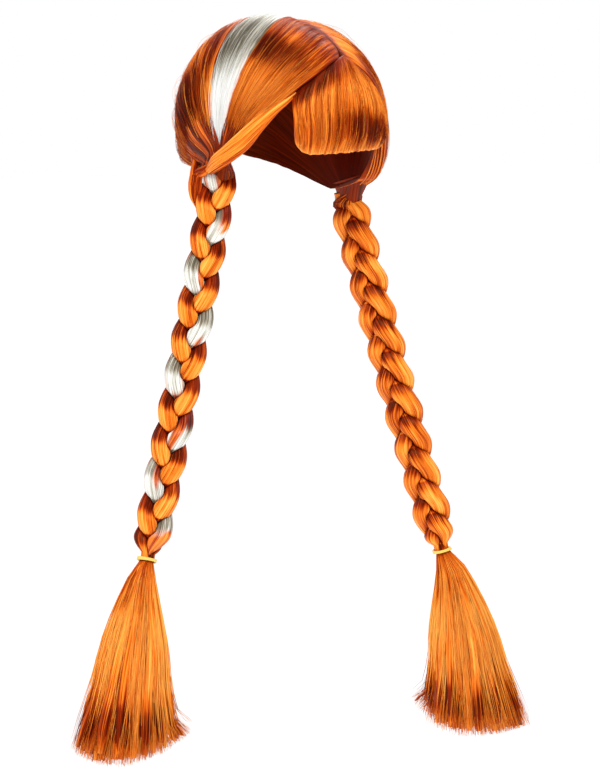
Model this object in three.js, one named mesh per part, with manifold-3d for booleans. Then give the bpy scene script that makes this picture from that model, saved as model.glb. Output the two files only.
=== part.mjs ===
// A pigtail wig: parted hair swept to two gathers beside the ears, two plaits of
// three strands, elastic bands and loose ends. Millimetres, +Z up, the wearer looks
// along -Y and the wearer's right side is -X. The origin is the top of the head room.
import * as THREE from 'three';
import { mergeVertices } from 'three/addons/utils/BufferGeometryUtils.js';
import Module from 'manifold-3d';

const wasm = await Module();
wasm.setup();

// Room for the head inside the hair
const headHalfWidth = 80;
const headHalfDepth = 100;
const headCrownHeight = 87;
const headNapeDepth = 135;

// Thickness of the hair on the head. It swells from the parting to its full thickness
// over the first share of its way, and changes again from the last share to the gather.
const hairThickness = 10;
const partingThickness = 7;
const partingShare = 0.15;
const gatherShare = 0.6;
const fullnessSkewPower = 0.5;
const lockRelief = 1.1;
const clearance = 0.4;

// Angles on the head, in degrees. Along the middle line they run from the level of
// the brow over the top: 90 is the top, 180 the widest level at the back.
const middleTurn = -4;
const hairlineAngle = 39;
const streakFrontAngle = 81;
const streakBackAngle = 103;
const napeAngle = 196;
const forwardBowShare = 0.08;

// Plaits. The left one is a little longer than the right one.
const plaitLineDrop = 53;
const plaitLineTop = headCrownHeight + plaitLineDrop;
const plaitDrop = 361;
const plaitUneven = 7;
const plaitRootOut = headHalfWidth - 5;
const plaitRootBack = 0.03 * headHalfDepth;
const plaitSpread = 107;
const plaitForward = 23;
const plaitBendPower = 1.07;
const plaitPeriod = 95;
const plaitEndShare = 0.36;
const plaitTaperLength = 21;
const plaitNeckLength = 6;
const strandGap = 1;
const strandSwing = 7.2;
const strandRise = 3.7;
const strandHalfWidth = 10.6;
const strandHalfDepth = 8.6;
const plaitHalfWidth = strandSwing + strandHalfWidth;
const plaitHalfDepth = strandRise + strandHalfDepth;

// Where a gather meets its plait
const gatherFootHalfWidth = 14;
const gatherFootHalfDepth = 11.4;
const gatherBulge = 3;

// Elastic bands
const bandThickness = 2.4;
const bandHeight = 4;
const bandClearance = 0.5;

// Loose ends below the bands
const tasselHalfWidth = 48;
const tasselHalfDepth = 35;
const tasselForward = 6;
const tasselLeanPower = 0.62;
const tasselLockCount = 9;
const tasselCoreShare = 0.72;
const tasselLockReachShare = 0.66;
const tasselLockShare = 0.36;
const tasselTipShare = 0.6;
const tasselArchShare = 0.14;
const tasselTiltShare = 0.03;
const tasselRagged = 10;

// Fringe
const fringeRightBearing = 39;
const fringeLeftBearing = -41;
const fringeRightTipRise = -14.5;
const fringeLeftTipRise = -11.7;
const fringeCornerRise = 11;
const fringeCornerPower = 12;
const fringeRootShare = 0.46;
const fringeRootThickness = 6.5;
const fringeArchShare = 0.8;
const fringeTipShare = 0.85;
const fringeLockCount = 4;

// Locks laid by hand on the wearer's right, with their depth as a share of their width
const frontLockRadius = 5.6;
const frontLockFlatShare = 0.8;
const loopLockRadius = 5.6;
const loopLockFlatShare = 0.9;

// Faceting
const pathStepCount = 12;
const columnsPerLock = 3.4;
const fringeStepCount = 8;
const fringeColumnCount = 16;
const strandStepCount = 56;
const strandSideCount = 8;
const strandLookAheadShare = 0.38;
const gatherStepCount = 4;
const gatherColumnCount = 7;
const lockSideCount = 8;
const frontLockStepCount = 14;
const loopLockStepCount = 8;
const bandStepCount = 16;
const bandSideCount = 6;
const tasselStepCount = 5;
const tasselSideCount = 6;

// What differs between the wearer's right and left. Fullness is added to the hair's
// thickness a quarter of the way to the gather, and the pattern is -1 where the strands
// form a V.
const sides = {
  right: {
    sign: -1,
    knotFront: direction(76.5, -14.5),
    knotBack: direction(99, -21),
    napeRaiseShare: 0.1,
    fullness: 2.5,
    gatherThickness: 11,
    plaitTop: headCrownHeight + 0.4 * headNapeDepth,
    plaitGirthShare: 1,
    faceTurn: -40,
    pattern: -1,
    phase: -63,
    tasselLength: 183,
    tasselSpread: 29,
  },
  left: {
    sign: 1,
    knotFront: direction(-68, -26),
    knotBack: direction(-97, -31),
    napeRaiseShare: 0.22,
    fullness: -3.2,
    gatherThickness: 19,
    plaitTop: headCrownHeight + 0.6 * headNapeDepth,
    plaitGirthShare: 1.08,
    faceTurn: -65,
    pattern: 1,
    phase: -170,
    tasselLength: 178,
    tasselSpread: 37,
  },
};

const colours = {
  orange: 0xe0701c,
  pale: 0xf2f0e8,
  band: 0xf2c14e,
};

function hairMaterial(colour) {
  return new THREE.MeshStandardMaterial({ color: colour, roughness: 0.35, metalness: 0 });
}

function bandMaterial() {
  return new THREE.MeshStandardMaterial({ color: colours.band, roughness: 0.6, metalness: 0 });
}

// Places on the head

function radians(degrees) {
  return THREE.MathUtils.degToRad(degrees);
}

// Bearing goes round the head from the face to the wearer's right, rise is above the
// widest level.
function direction(bearing, rise) {
  const b = radians(bearing);
  const r = radians(rise);
  return new THREE.Vector3(-Math.sin(b) * Math.cos(r), -Math.cos(b) * Math.cos(r), Math.sin(r));
}

function onHead(q, lift) {
  const height = q.z < 0 ? headNapeDepth : headCrownHeight + lift;
  return new THREE.Vector3(
    q.x * (headHalfWidth + lift),
    q.y * (headHalfDepth + lift),
    q.z * height - headCrownHeight,
  );
}

function arc(from, to, share) {
  const angle = from.angleTo(to);
  const a = Math.sin((1 - share) * angle) / Math.sin(angle);
  const b = Math.sin(share * angle) / Math.sin(angle);
  return from.clone().multiplyScalar(a).addScaledVector(to, b);
}

function middleLine(angle) {
  const a = radians(angle);
  const turn = radians(middleTurn);
  return new THREE.Vector3(-Math.sin(turn) * Math.cos(a), -Math.cos(turn) * Math.cos(a), Math.sin(a));
}

// The way of a hair from its root on the middle line to the gather
function hairPath(side, rootAngle, knotShare, share) {
  const knot = arc(side.knotFront, side.knotBack, knotShare);
  const path = arc(middleLine(rootAngle), knot, share);
  const rear = (rootAngle - hairlineAngle) / (napeAngle - hairlineAngle);
  const swell = Math.sin(Math.PI * share);
  path.y -= forwardBowShare * (1 - rear) * swell;
  path.z += side.napeRaiseShare * rear * swell;
  return path.normalize();
}

function sweptThickness(side, share) {
  const fromParting = THREE.MathUtils.smoothstep(share, 0, partingShare);
  const toGather = THREE.MathUtils.smoothstep(share, gatherShare, 1);
  return partingThickness
    + (hairThickness - partingThickness) * fromParting
    + side.fullness * Math.sin(Math.PI * Math.pow(share, fullnessSkewPower))
    + (side.gatherThickness - hairThickness) * toGather;
}

// Closed meshes

function geometryOf(points, triangles) {
  const geometry = new THREE.BufferGeometry();
  const flat = points.flatMap((p) => [p.x, p.y, p.z]);
  geometry.setAttribute('position', new THREE.Float32BufferAttribute(flat, 3));
  geometry.setIndex(triangles);
  return geometry;
}

function volumeOf(points, triangles) {
  let sum = 0;
  for (let i = 0; i < triangles.length; i += 3) {
    const [a, b, c] = [points[triangles[i]], points[triangles[i + 1]], points[triangles[i + 2]]];
    sum += a.dot(new THREE.Vector3().crossVectors(b, c));
  }
  return sum / 6;
}

function facingOut(points, triangles) {
  if (volumeOf(points, triangles) > 0) return geometryOf(points, triangles);
  const turned = [];
  for (let i = 0; i < triangles.length; i += 3) {
    turned.push(triangles[i], triangles[i + 2], triangles[i + 1]);
  }
  return geometryOf(points, turned);
}

// A closed wall between an outer and an inner grid of points, grid[row][column]
function wallBetween(outer, inner) {
  const rows = outer.length;
  const columns = outer[0].length;
  const points = [...outer.flat(), ...inner.flat()];
  const triangles = [];
  const at = (layer, row, column) => layer * rows * columns + row * columns + column;
  const quad = (a, b, c, d) => triangles.push(a, b, c, a, c, d);
  for (let row = 0; row < rows - 1; row += 1) {
    for (let column = 0; column < columns - 1; column += 1) {
      quad(at(0, row, column), at(0, row, column + 1), at(0, row + 1, column + 1), at(0, row + 1, column));
      quad(at(1, row, column), at(1, row + 1, column), at(1, row + 1, column + 1), at(1, row, column + 1));
    }
    quad(at(0, row, 0), at(0, row + 1, 0), at(1, row + 1, 0), at(1, row, 0));
    const last = columns - 1;
    quad(at(0, row + 1, last), at(0, row, last), at(1, row, last), at(1, row + 1, last));
  }
  for (let column = 0; column < columns - 1; column += 1) {
    quad(at(0, 0, column + 1), at(0, 0, column), at(1, 0, column), at(1, 0, column + 1));
    const last = rows - 1;
    quad(at(0, last, column), at(0, last, column + 1), at(1, last, column + 1), at(1, last, column));
  }
  return facingOut(points, triangles);
}

// A closed body through rings of points, with a fan of triangles at each end
function loft(rings) {
  const sidesOfRing = rings[0].length;
  const points = rings.flat();
  const triangles = [];
  for (let ring = 0; ring < rings.length - 1; ring += 1) {
    for (let i = 0; i < sidesOfRing; i += 1) {
      const j = (i + 1) % sidesOfRing;
      const [a, b] = [ring * sidesOfRing + i, ring * sidesOfRing + j];
      triangles.push(a, b, b + sidesOfRing, a, b + sidesOfRing, a + sidesOfRing);
    }
  }
  for (const [ring, flip] of [[0, true], [rings.length - 1, false]]) {
    const centre = new THREE.Vector3();
    rings[ring].forEach((p) => centre.addScaledVector(p, 1 / sidesOfRing));
    points.push(centre);
    const middle = points.length - 1;
    for (let i = 0; i < sidesOfRing; i += 1) {
      const a = ring * sidesOfRing + i;
      const b = ring * sidesOfRing + ((i + 1) % sidesOfRing);
      triangles.push(middle, flip ? b : a, flip ? a : b);
    }
  }
  return facingOut(points, triangles);
}

function solidOf(geometry) {
  const bare = geometry.clone();
  bare.deleteAttribute('normal');
  bare.deleteAttribute('uv');
  const merged = mergeVertices(bare, 1e-4);
  return new wasm.Manifold(new wasm.Mesh({
    numProp: 3,
    vertProperties: new Float32Array(merged.getAttribute('position').array),
    triVerts: new Uint32Array(merged.index.array),
  }));
}

function geometryFromSolid(solid) {
  const mesh = solid.getMesh();
  const geometry = new THREE.BufferGeometry();
  geometry.setAttribute('position', new THREE.BufferAttribute(mesh.vertProperties, 3));
  geometry.setIndex(new THREE.BufferAttribute(mesh.triVerts, 1));
  return geometry;
}

function fused(geometries) {
  const [first, ...rest] = geometries.map(solidOf);
  return geometryFromSolid(rest.reduce((whole, next) => whole.add(next), first));
}

function cutAway(geometry, cutters) {
  const whole = solidOf(geometry);
  return geometryFromSolid(cutters.map(solidOf).reduce((rest, next) => rest.subtract(next), whole));
}

// Sections of hair on the head

// Moves the edge rows and columns of a grid inwards, so that neighbours keep a gap
function drawIn(grid, distance) {
  const step = (from, to) => to.clone().sub(from).normalize().multiplyScalar(distance);
  const rows = grid.length;
  const columns = grid[0].length;
  for (const row of grid) {
    row[0].add(step(row[0], row[1]));
    row[columns - 1].add(step(row[columns - 1], row[columns - 2]));
  }
  for (let column = 0; column < columns; column += 1) {
    grid[0][column].add(step(grid[0][column], grid[1][column]));
    grid[rows - 1][column].add(step(grid[rows - 1][column], grid[rows - 2][column]));
  }
  return grid;
}

function patch({ columns, rows, place, thickness, grow = 0 }) {
  const grids = [0, 1].map((layer) => {
    const grid = [];
    for (let row = 0; row <= rows; row += 1) {
      const line = [];
      for (let column = 0; column <= columns; column += 1) {
        const [u, v] = [row / rows, column / columns];
        line.push(onHead(place(u, v), layer ? -grow : thickness(u, v) + grow));
      }
      grid.push(line);
    }
    return drawIn(grid, clearance / 2 - grow);
  });
  return wallBetween(grids[0], grids[1]);
}

function sweptSection(side, { rootFrom, rootTo, knotFrom, knotTo, locks, grow }) {
  return patch({
    columns: Math.round(locks * columnsPerLock),
    rows: pathStepCount,
    grow,
    place: (u, v) => hairPath(
      side,
      THREE.MathUtils.lerp(rootFrom, rootTo, v),
      THREE.MathUtils.lerp(knotFrom, knotTo, v),
      u,
    ),
    thickness: (u, v) => sweptThickness(side, u)
      - lockRelief * Math.cos(2 * Math.PI * locks * v) * Math.sin(Math.PI * u),
  });
}

// Rows: the roots' angles along the middle line, the places at the gather in shares of
// the way from the front knot to the back one, and the number of raised locks
const sections = {
  frontSweep: { rootFrom: hairlineAngle, rootTo: streakFrontAngle, knotFrom: 0, knotTo: 0.2, locks: 3 },
  streak: { rootFrom: streakFrontAngle, rootTo: streakBackAngle, knotFrom: 0.2, knotTo: 0.33, locks: 1 },
  crownRight: { rootFrom: streakBackAngle, rootTo: napeAngle, knotFrom: 0.33, knotTo: 1, locks: 5 },
  crownLeft: { rootFrom: hairlineAngle, rootTo: napeAngle, knotFrom: 0, knotTo: 1, locks: 5 },
};

// The fringe hangs from the front edges of the swept hair and turns under at its tips
function fringe() {
  const rootOf = (v) => {
    const half = v < 0.5 ? sides.right : sides.left;
    const share = fringeRootShare * Math.abs(1 - 2 * v);
    return hairPath(half, hairlineAngle, 0, share);
  };
  const tipOf = (v) => {
    const corner = Math.pow(Math.abs(1 - 2 * v), fringeCornerPower) * fringeCornerRise;
    const bearing = THREE.MathUtils.lerp(fringeRightBearing, fringeLeftBearing, v);
    const rise = THREE.MathUtils.lerp(fringeRightTipRise, fringeLeftTipRise, v);
    return direction(bearing, rise + corner);
  };
  return patch({
    columns: fringeColumnCount,
    rows: fringeStepCount,
    place: (u, v) => arc(rootOf(v), tipOf(v), u),
    thickness: (u, v) => fringeRootThickness
      + (hairThickness - fringeRootThickness) * Math.sin(Math.PI * fringeArchShare * u)
      - (hairThickness - fringeRootThickness) * THREE.MathUtils.smoothstep(u, fringeTipShare, 1)
      - lockRelief * Math.cos(2 * Math.PI * fringeLockCount * v) * u,
  });
}

// Plaits

// A place by its level below the head's top, across the plait's face and out of it
function plaitFrame(side, level) {
  const at = (depth) => {
    const share = Math.max((depth - plaitLineTop) / plaitDrop, 0);
    return new THREE.Vector3(
      side.sign * (plaitRootOut + plaitSpread * Math.pow(share, plaitBendPower)),
      plaitRootBack - plaitForward * share,
      -depth,
    );
  };
  const centre = at(level);
  const along = at(level + 1).sub(at(level - 1)).normalize();
  const turn = radians(side.faceTurn);
  const across = new THREE.Vector3(Math.cos(turn), Math.sin(turn), 0);
  across.addScaledVector(along, -across.dot(along)).normalize();
  const out = new THREE.Vector3().crossVectors(across, along).negate();
  if (out.dot(new THREE.Vector3(Math.sin(turn), -Math.cos(turn), 0)) < 0) out.negate();
  return { centre, along, across, out };
}

function plaitPoint(side, level, x, y) {
  const frame = plaitFrame(side, level);
  return frame.centre.addScaledVector(frame.across, x).addScaledVector(frame.out, y);
}

function bandLevel(side) {
  return plaitLineTop + plaitDrop + side.sign * plaitUneven;
}

// How wide the plait is at a level, as a share of its full width
function plaitFullness(side, level) {
  const above = bandLevel(side) - level;
  const share = (plaitTaperLength + plaitNeckLength - above) / plaitTaperLength;
  const taper = THREE.MathUtils.clamp(share, 0, 1);
  return side.plaitGirthShare * (1 - (1 - plaitEndShare) * taper * taper);
}

// Three strands cross over each other: each swings across the plait once in a period
// and in and out of it twice, and keeps to its own side of the lines between strands.
function strandCentre(side, strand, level) {
  const turn = (360 * (level - plaitLineTop)) / plaitPeriod + side.phase + 120 * strand;
  const a = radians(turn);
  return new THREE.Vector2(strandSwing * Math.sin(a), side.pattern * strandRise * Math.sin(2 * a));
}

// How far a strand reaches along a ray from its centre, kept off the lines halfway to
// the other strands at this level and a little above and below it.
function strandReach(side, strand, level, step, ray) {
  const own = strandCentre(side, strand, level);
  let reach = 1 / Math.hypot(ray.x / strandHalfWidth, ray.y / strandHalfDepth);
  for (const ahead of [-strandLookAheadShare, 0, strandLookAheadShare]) {
    const near = level + ahead * step;
    const centre = strandCentre(side, strand, near);
    for (let other = 0; other < 3; other += 1) {
      if (other === strand) continue;
      const apart = strandCentre(side, other, near).sub(centre);
      const halfway = centre.clone().addScaledVector(apart, 0.5).sub(own);
      const length = apart.length();
      const distance = halfway.dot(apart) / length - strandGap / 2 / plaitFullness(side, level);
      const facing = ray.dot(apart) / length;
      if (facing > 0) reach = Math.min(reach, distance / facing);
    }
  }
  return reach;
}

function strandSection(side, strand, level, step) {
  const own = strandCentre(side, strand, level);
  const fullness = plaitFullness(side, level);
  const ring = [];
  for (let i = 0; i < strandSideCount; i += 1) {
    const angle = (2 * Math.PI * i) / strandSideCount;
    const ray = new THREE.Vector2(Math.cos(angle), Math.sin(angle));
    const point = own.clone().addScaledVector(ray, strandReach(side, strand, level, step, ray));
    ring.push(plaitPoint(side, level, fullness * point.x, fullness * point.y));
  }
  return ring;
}

function plaitStrand(side, strand) {
  const from = side.plaitTop + clearance;
  const to = bandLevel(side) - clearance / 2;
  const step = (to - from) / strandStepCount;
  const rings = [];
  for (let i = 0; i <= strandStepCount; i += 1) {
    rings.push(strandSection(side, strand, from + i * step, step));
  }
  return loft(rings);
}

// Gathers, where the swept sections meet above each plait

function gather(side, grow = 0) {
  const frame = plaitFrame(side, side.plaitTop);
  const footHalfWidth = gatherFootHalfWidth * side.plaitGirthShare + grow;
  const footHalfDepth = gatherFootHalfDepth * side.plaitGirthShare + grow;
  const ahead = new THREE.Vector3(0, -1, 0);
  ahead.addScaledVector(frame.along, -ahead.dot(frame.along)).normalize();
  const outward = new THREE.Vector3().crossVectors(frame.along, ahead);
  outward.multiplyScalar(Math.sign(outward.x) * side.sign);
  const beyond = (grow - 2 * clearance) / (side.knotFront.angleTo(side.knotBack) * headHalfWidth);
  const grids = [1, -1].map((layer) => {
    const lift = layer > 0 ? side.gatherThickness + grow : -grow;
    const grid = [];
    for (let row = 0; row <= gatherStepCount; row += 1) {
      const line = [];
      for (let column = 0; column <= gatherColumnCount; column += 1) {
        const along = -beyond + ((1 + 2 * beyond) * column) / gatherColumnCount;
        const top = onHead(arc(side.knotFront, side.knotBack, along), lift);
        top.z += grow - clearance;
        const turn = (Math.PI * (column + 0.5)) / (gatherColumnCount + 1);
        const bottom = frame.centre.clone()
          .addScaledVector(ahead, footHalfWidth * Math.cos(turn))
          .addScaledVector(outward, layer * footHalfDepth * Math.sin(turn));
        const share = row / gatherStepCount;
        const bulge = layer > 0 ? gatherBulge * Math.sin(Math.PI * share) : 0;
        line.push(top.lerp(bottom, share).addScaledVector(outward, bulge));
      }
      grid.push(line);
    }
    return grid;
  });
  return wallBetween(grids[0], grids[1]);
}

// Round locks along a hand-set way

function tubeAlong(points, radii, steps, flatten) {
  const curve = new THREE.CatmullRomCurve3(points);
  const frames = curve.computeFrenetFrames(steps, false);
  const rings = [];
  for (let i = 0; i <= steps; i += 1) {
    const share = i / steps;
    const place = curve.getPointAt(share);
    const position = share * (radii.length - 1);
    const lower = Math.min(Math.floor(position), radii.length - 2);
    const radius = THREE.MathUtils.lerp(radii[lower], radii[lower + 1], position - lower);
    const ring = [];
    for (let k = 0; k < lockSideCount; k += 1) {
      const angle = (2 * Math.PI * k) / lockSideCount;
      ring.push(place.clone()
        .addScaledVector(frames.normals[i], radius * Math.cos(angle))
        .addScaledVector(frames.binormals[i], radius * flatten * Math.sin(angle)));
    }
    rings.push(ring);
  }
  return loft(rings);
}

// The twisted lock runs along the lower edge of the front sweep and over the gather.
// Rows: bearing and rise in degrees, lift off the head in shares of the hair's
// thickness, radius in shares of the lock's.
const frontLockWay = [
  { bearing: 42, rise: 11.5, lift: 0.75, radius: 0.3 },
  { bearing: 50, rise: 5, lift: 0.8, radius: 0.75 },
  { bearing: 58, rise: -2, lift: 0.95, radius: 0.95 },
  { bearing: 66, rise: -8.5, lift: 1.4, radius: 1 },
  { bearing: 73.5, rise: -13.5, lift: 1.9, radius: 0.95 },
  { bearing: 81, rise: -17.5, lift: 2.05, radius: 0.85 },
  { bearing: 89, rise: -21.5, lift: 1.95, radius: 0.65 },
];

function frontLock(grow = 0) {
  const points = frontLockWay.map((row) => {
    const lift = row.lift * hairThickness;
    return onHead(direction(row.bearing, row.rise), lift);
  });
  const radii = frontLockWay.map((row) => row.radius * frontLockRadius + grow);
  return tubeAlong(points, radii, frontLockStepCount, frontLockFlatShare);
}

// A loose loop of the back hair beside the top of the right plait.
// Rows: drop below the plait's top in shares of a plait period, place across the plait
// in shares of its half width, place out of its face in shares of its half depth.
const loopLockWay = [
  { drop: -0.1, across: -0.62, out: 1.25, radius: 0.5 },
  { drop: -0.055, across: -1.08, out: 0.75, radius: 0.85 },
  { drop: 0.05, across: -1.36, out: 0.3, radius: 0.95 },
  { drop: 0.17, across: -1.3, out: 0.1, radius: 0.75 },
  { drop: 0.26, across: -1.25, out: -0.1, radius: 0.62 },
  { drop: 0.33, across: -1.2, out: -0.35, radius: 0.4 },
];

function loopLock(side) {
  const points = loopLockWay.map((row) => plaitPoint(
    side,
    side.plaitTop + clearance + row.drop * plaitPeriod,
    row.across * plaitHalfWidth,
    row.out * plaitHalfDepth,
  ));
  const radii = loopLockWay.map((row) => row.radius * loopLockRadius);
  return tubeAlong(points, radii, loopLockStepCount, loopLockFlatShare);
}

// Bands and loose ends

function band(side) {
  const plaitShare = plaitEndShare * side.plaitGirthShare;
  const reachX = plaitShare * plaitHalfWidth + bandThickness / 2 + bandClearance;
  const reachY = plaitShare * plaitHalfDepth + bandThickness / 2 + bandClearance;
  const points = [];
  const triangles = [];
  const frame = plaitFrame(side, bandLevel(side));
  for (let i = 0; i < bandStepCount; i += 1) {
    const turn = (2 * Math.PI * i) / bandStepCount;
    for (let k = 0; k < bandSideCount; k += 1) {
      const angle = (2 * Math.PI * k) / bandSideCount;
      const swell = (bandThickness / 2) * Math.cos(angle);
      points.push(frame.centre.clone()
        .addScaledVector(frame.across, (reachX + swell) * Math.cos(turn))
        .addScaledVector(frame.out, (reachY + swell) * Math.sin(turn))
        .addScaledVector(frame.along, (bandHeight / 2) * Math.sin(angle)));
      const next = ((i + 1) % bandStepCount) * bandSideCount;
      const [a, b] = [i * bandSideCount + k, i * bandSideCount + ((k + 1) % bandSideCount)];
      const [c, d] = [next + ((k + 1) % bandSideCount), next + k];
      triangles.push(a, b, c, a, c, d);
    }
  }
  return facingOut(points, triangles);
}

// Half widths of the loose end in shares of the full one, by share of its length
const tasselShape = [
  { drop: 0, width: 0.115 },
  { drop: 0.1, width: 0.27 },
  { drop: 0.3, width: 0.5 },
  { drop: 0.5, width: 0.68 },
  { drop: 0.7, width: 0.77 },
  { drop: 0.85, width: 0.9 },
  { drop: 1, width: 1.03 },
];

function tasselWidth(share) {
  const next = tasselShape.findIndex((row) => row.drop >= share);
  if (next <= 0) return tasselShape[0].width;
  const [a, b] = [tasselShape[next - 1], tasselShape[next]];
  return THREE.MathUtils.mapLinear(share, a.drop, b.drop, a.width, b.width);
}

// One lock of a loose end: its angle and reach from the middle, its length and its
// thickness as a share of the loose end's.
function tasselLock(side, angle, reach, length, thickness) {
  const turn = radians(side.faceTurn);
  const levelAcross = new THREE.Vector3(Math.cos(turn), Math.sin(turn), 0);
  const levelOut = new THREE.Vector3(Math.sin(turn), -Math.cos(turn), 0);
  const frame = plaitFrame(side, bandLevel(side));
  const top = frame.centre.addScaledVector(frame.along, clearance / 2);
  const lean = new THREE.Vector3(side.sign * side.tasselSpread, -tasselForward, 0);
  const rings = [];
  for (let i = 0; i <= tasselStepCount; i += 1) {
    const share = i / tasselStepCount;
    const width = side.plaitGirthShare * tasselWidth(share);
    const across = frame.across.clone().lerp(levelAcross, share).multiplyScalar(width * tasselHalfWidth);
    const out = frame.out.clone().lerp(levelOut, share).multiplyScalar(width * tasselHalfDepth);
    const centre = top.clone().addScaledVector(lean, Math.pow(share, tasselLeanPower));
    centre.z -= length * share;
    centre.addScaledVector(across, reach * Math.cos(angle));
    centre.addScaledVector(out, reach * Math.sin(angle));
    const slim = thickness * (i === tasselStepCount ? tasselTipShare : 1);
    const ring = [];
    for (let k = 0; k < tasselSideCount; k += 1) {
      const corner = (2 * Math.PI * (k + 0.5)) / tasselSideCount;
      ring.push(centre.clone()
        .addScaledVector(across, slim * Math.cos(corner))
        .addScaledVector(out, slim * Math.sin(corner)));
    }
    rings.push(ring);
  }
  return loft(rings);
}

// Locks fan out from the band, all fused to a core lock in the middle. Those at the
// sides of the fan end higher up, most of all on the inner side, and each has its own
// length.
function tassel(side) {
  const locks = [tasselLock(side, 0, 0, side.tasselLength - tasselRagged / 2, tasselCoreShare)];
  for (let i = 0; i < tasselLockCount; i += 1) {
    const angle = (2 * Math.PI * i) / tasselLockCount;
    const ragged = tasselRagged * Math.abs(Math.sin(i * i + side.sign));
    const arch = side.tasselLength * tasselArchShare * Math.pow(tasselLockReachShare * Math.cos(angle), 2);
    const tilt = side.tasselLength * tasselTiltShare * tasselLockReachShare * side.sign * Math.cos(angle);
    const length = side.tasselLength - arch - ragged + tilt;
    locks.push(tasselLock(side, angle, tasselLockReachShare, length, tasselLockShare));
  }
  return fused(locks);
}

// The assembly

const wig = new THREE.Group();

function add(name, geometry, material) {
  geometry.computeVertexNormals();
  const mesh = new THREE.Mesh(geometry, material);
  mesh.name = name;
  wig.add(mesh);
}

add('front_sweep', sweptSection(sides.right, sections.frontSweep), hairMaterial(colours.orange));
add('streak_lock', sweptSection(sides.right, sections.streak), hairMaterial(colours.pale));
add('crown_right', sweptSection(sides.right, sections.crownRight), hairMaterial(colours.orange));
add('crown_left', sweptSection(sides.left, sections.crownLeft), hairMaterial(colours.orange));
add('fringe', fringe(), hairMaterial(colours.orange));

const lockNeighbours = [
  sweptSection(sides.right, { ...sections.frontSweep, grow: clearance }),
  sweptSection(sides.right, { ...sections.streak, grow: clearance }),
  sweptSection(sides.right, { ...sections.crownRight, grow: clearance }),
  gather(sides.right, 2 * clearance),
];
add('front_lock', cutAway(frontLock(), lockNeighbours), hairMaterial(colours.orange));
const loopNeighbours = [...lockNeighbours, frontLock(clearance)];
add('loop_lock', cutAway(loopLock(sides.right), loopNeighbours), hairMaterial(colours.orange));

for (const [name, side] of Object.entries(sides)) {
  add(`gather_${name}`, gather(side), hairMaterial(colours.orange));
  for (let strand = 0; strand < 3; strand += 1) {
    const pale = name === 'right' && strand === 0;
    const material = hairMaterial(pale ? colours.pale : colours.orange);
    add(`plait_${name}_strand_${strand + 1}`, plaitStrand(side, strand), material);
  }
  add(`band_${name}`, band(side), bandMaterial());
  add(`tassel_${name}`, tassel(side), hairMaterial(colours.orange));
}

export default wig;
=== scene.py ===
"""A pigtail wig of glossy synthetic hair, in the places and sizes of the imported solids.

Lengths are millimetres until a mesh is made, +Z is up, the wearer looks along -Y and
the wearer's right side is -X. The origin is the top of the head room.
"""

from collections import namedtuple
import math

import bpy
import numpy as np
from mathutils import Matrix, Vector


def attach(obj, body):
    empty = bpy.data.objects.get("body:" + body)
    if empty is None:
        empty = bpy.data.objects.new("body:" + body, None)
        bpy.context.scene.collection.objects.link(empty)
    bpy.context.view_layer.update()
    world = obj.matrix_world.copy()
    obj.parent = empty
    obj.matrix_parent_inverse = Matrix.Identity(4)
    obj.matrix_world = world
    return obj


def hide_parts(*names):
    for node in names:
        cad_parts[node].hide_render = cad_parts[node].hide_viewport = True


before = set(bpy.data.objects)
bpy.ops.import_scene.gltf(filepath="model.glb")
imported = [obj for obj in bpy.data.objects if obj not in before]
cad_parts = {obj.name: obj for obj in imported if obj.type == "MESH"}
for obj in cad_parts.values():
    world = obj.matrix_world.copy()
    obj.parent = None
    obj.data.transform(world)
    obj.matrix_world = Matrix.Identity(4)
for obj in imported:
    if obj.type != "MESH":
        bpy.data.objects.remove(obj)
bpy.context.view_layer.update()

MM = 0.001

# Room for the head inside the hair, and the hair's thickness on it
HEAD_HALF_WIDTH = 80
HEAD_HALF_DEPTH = 100
HEAD_CROWN_HEIGHT = 87
HEAD_NAPE_DEPTH = 135
HAIR_THICKNESS = 10
PARTING_THICKNESS = 3.5
PARTING_SHARE = 0.16
GATHER_SHARE = 0.6
FULLNESS_SKEW = 0.5

# Angles on the head, in degrees
MIDDLE_TURN = -4
HAIRLINE_ANGLE = 39
STREAK_FRONT_ANGLE = 81
STREAK_BACK_ANGLE = 103
NAPE_ANGLE = 196
FORWARD_BOW = 0.08

# Where the pale stripe meets the right gather, in shares of the way from its front knot to its back one
STREAK_FRONT_KNOT = 0.2
STREAK_BACK_KNOT = 0.33

# Combed relief: width and height of its ridges
BIG_RIDGE = (19, 1.9)
MIDDLE_RIDGE = (6.5, 0.8)
FINE_RIDGE = (2.3, 0.22)

# Swept sections
SWEPT_RADIUS = 98
SWEPT_LENGTH = 160
EDGE_ROUNDING = 1.3
EDGE_REACH = 3
EDGE_SLOPE = 2.5
EDGE_SLOPE_REACH = 9
STRAY_SHARE = 0.1
STRAY_DRIFT = 9

# Fringe
FRINGE_RIGHT_BEARING = 39
FRINGE_LEFT_BEARING = -47
FRINGE_RIGHT_TIP_RISE = -15
FRINGE_LEFT_TIP_RISE = -12.2
FRINGE_RIGHT_CORNER = (0.72, 7.5)
FRINGE_LEFT_CORNER = (0.88, 3)
FRINGE_ROOT_SHARE = 0.53
FRINGE_ROOT_POWER = 2.2
FRINGE_FAN_RISE = 18
FRINGE_FAN_SPREAD = 1.18
FRINGE_BEND = 0.35
FRINGE_CURL = 0.9
FRINGE_ROOT_THICKNESS = 6.5
FRINGE_TIP_THINNING = 4.5
FRINGE_WIDTH = 140
FRINGE_LENGTH = 90
FRINGE_RAGGED_SHARE = 0.012
FRINGE_ROUNDING = 4
FRINGE_EDGE_REACH = 7

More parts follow.
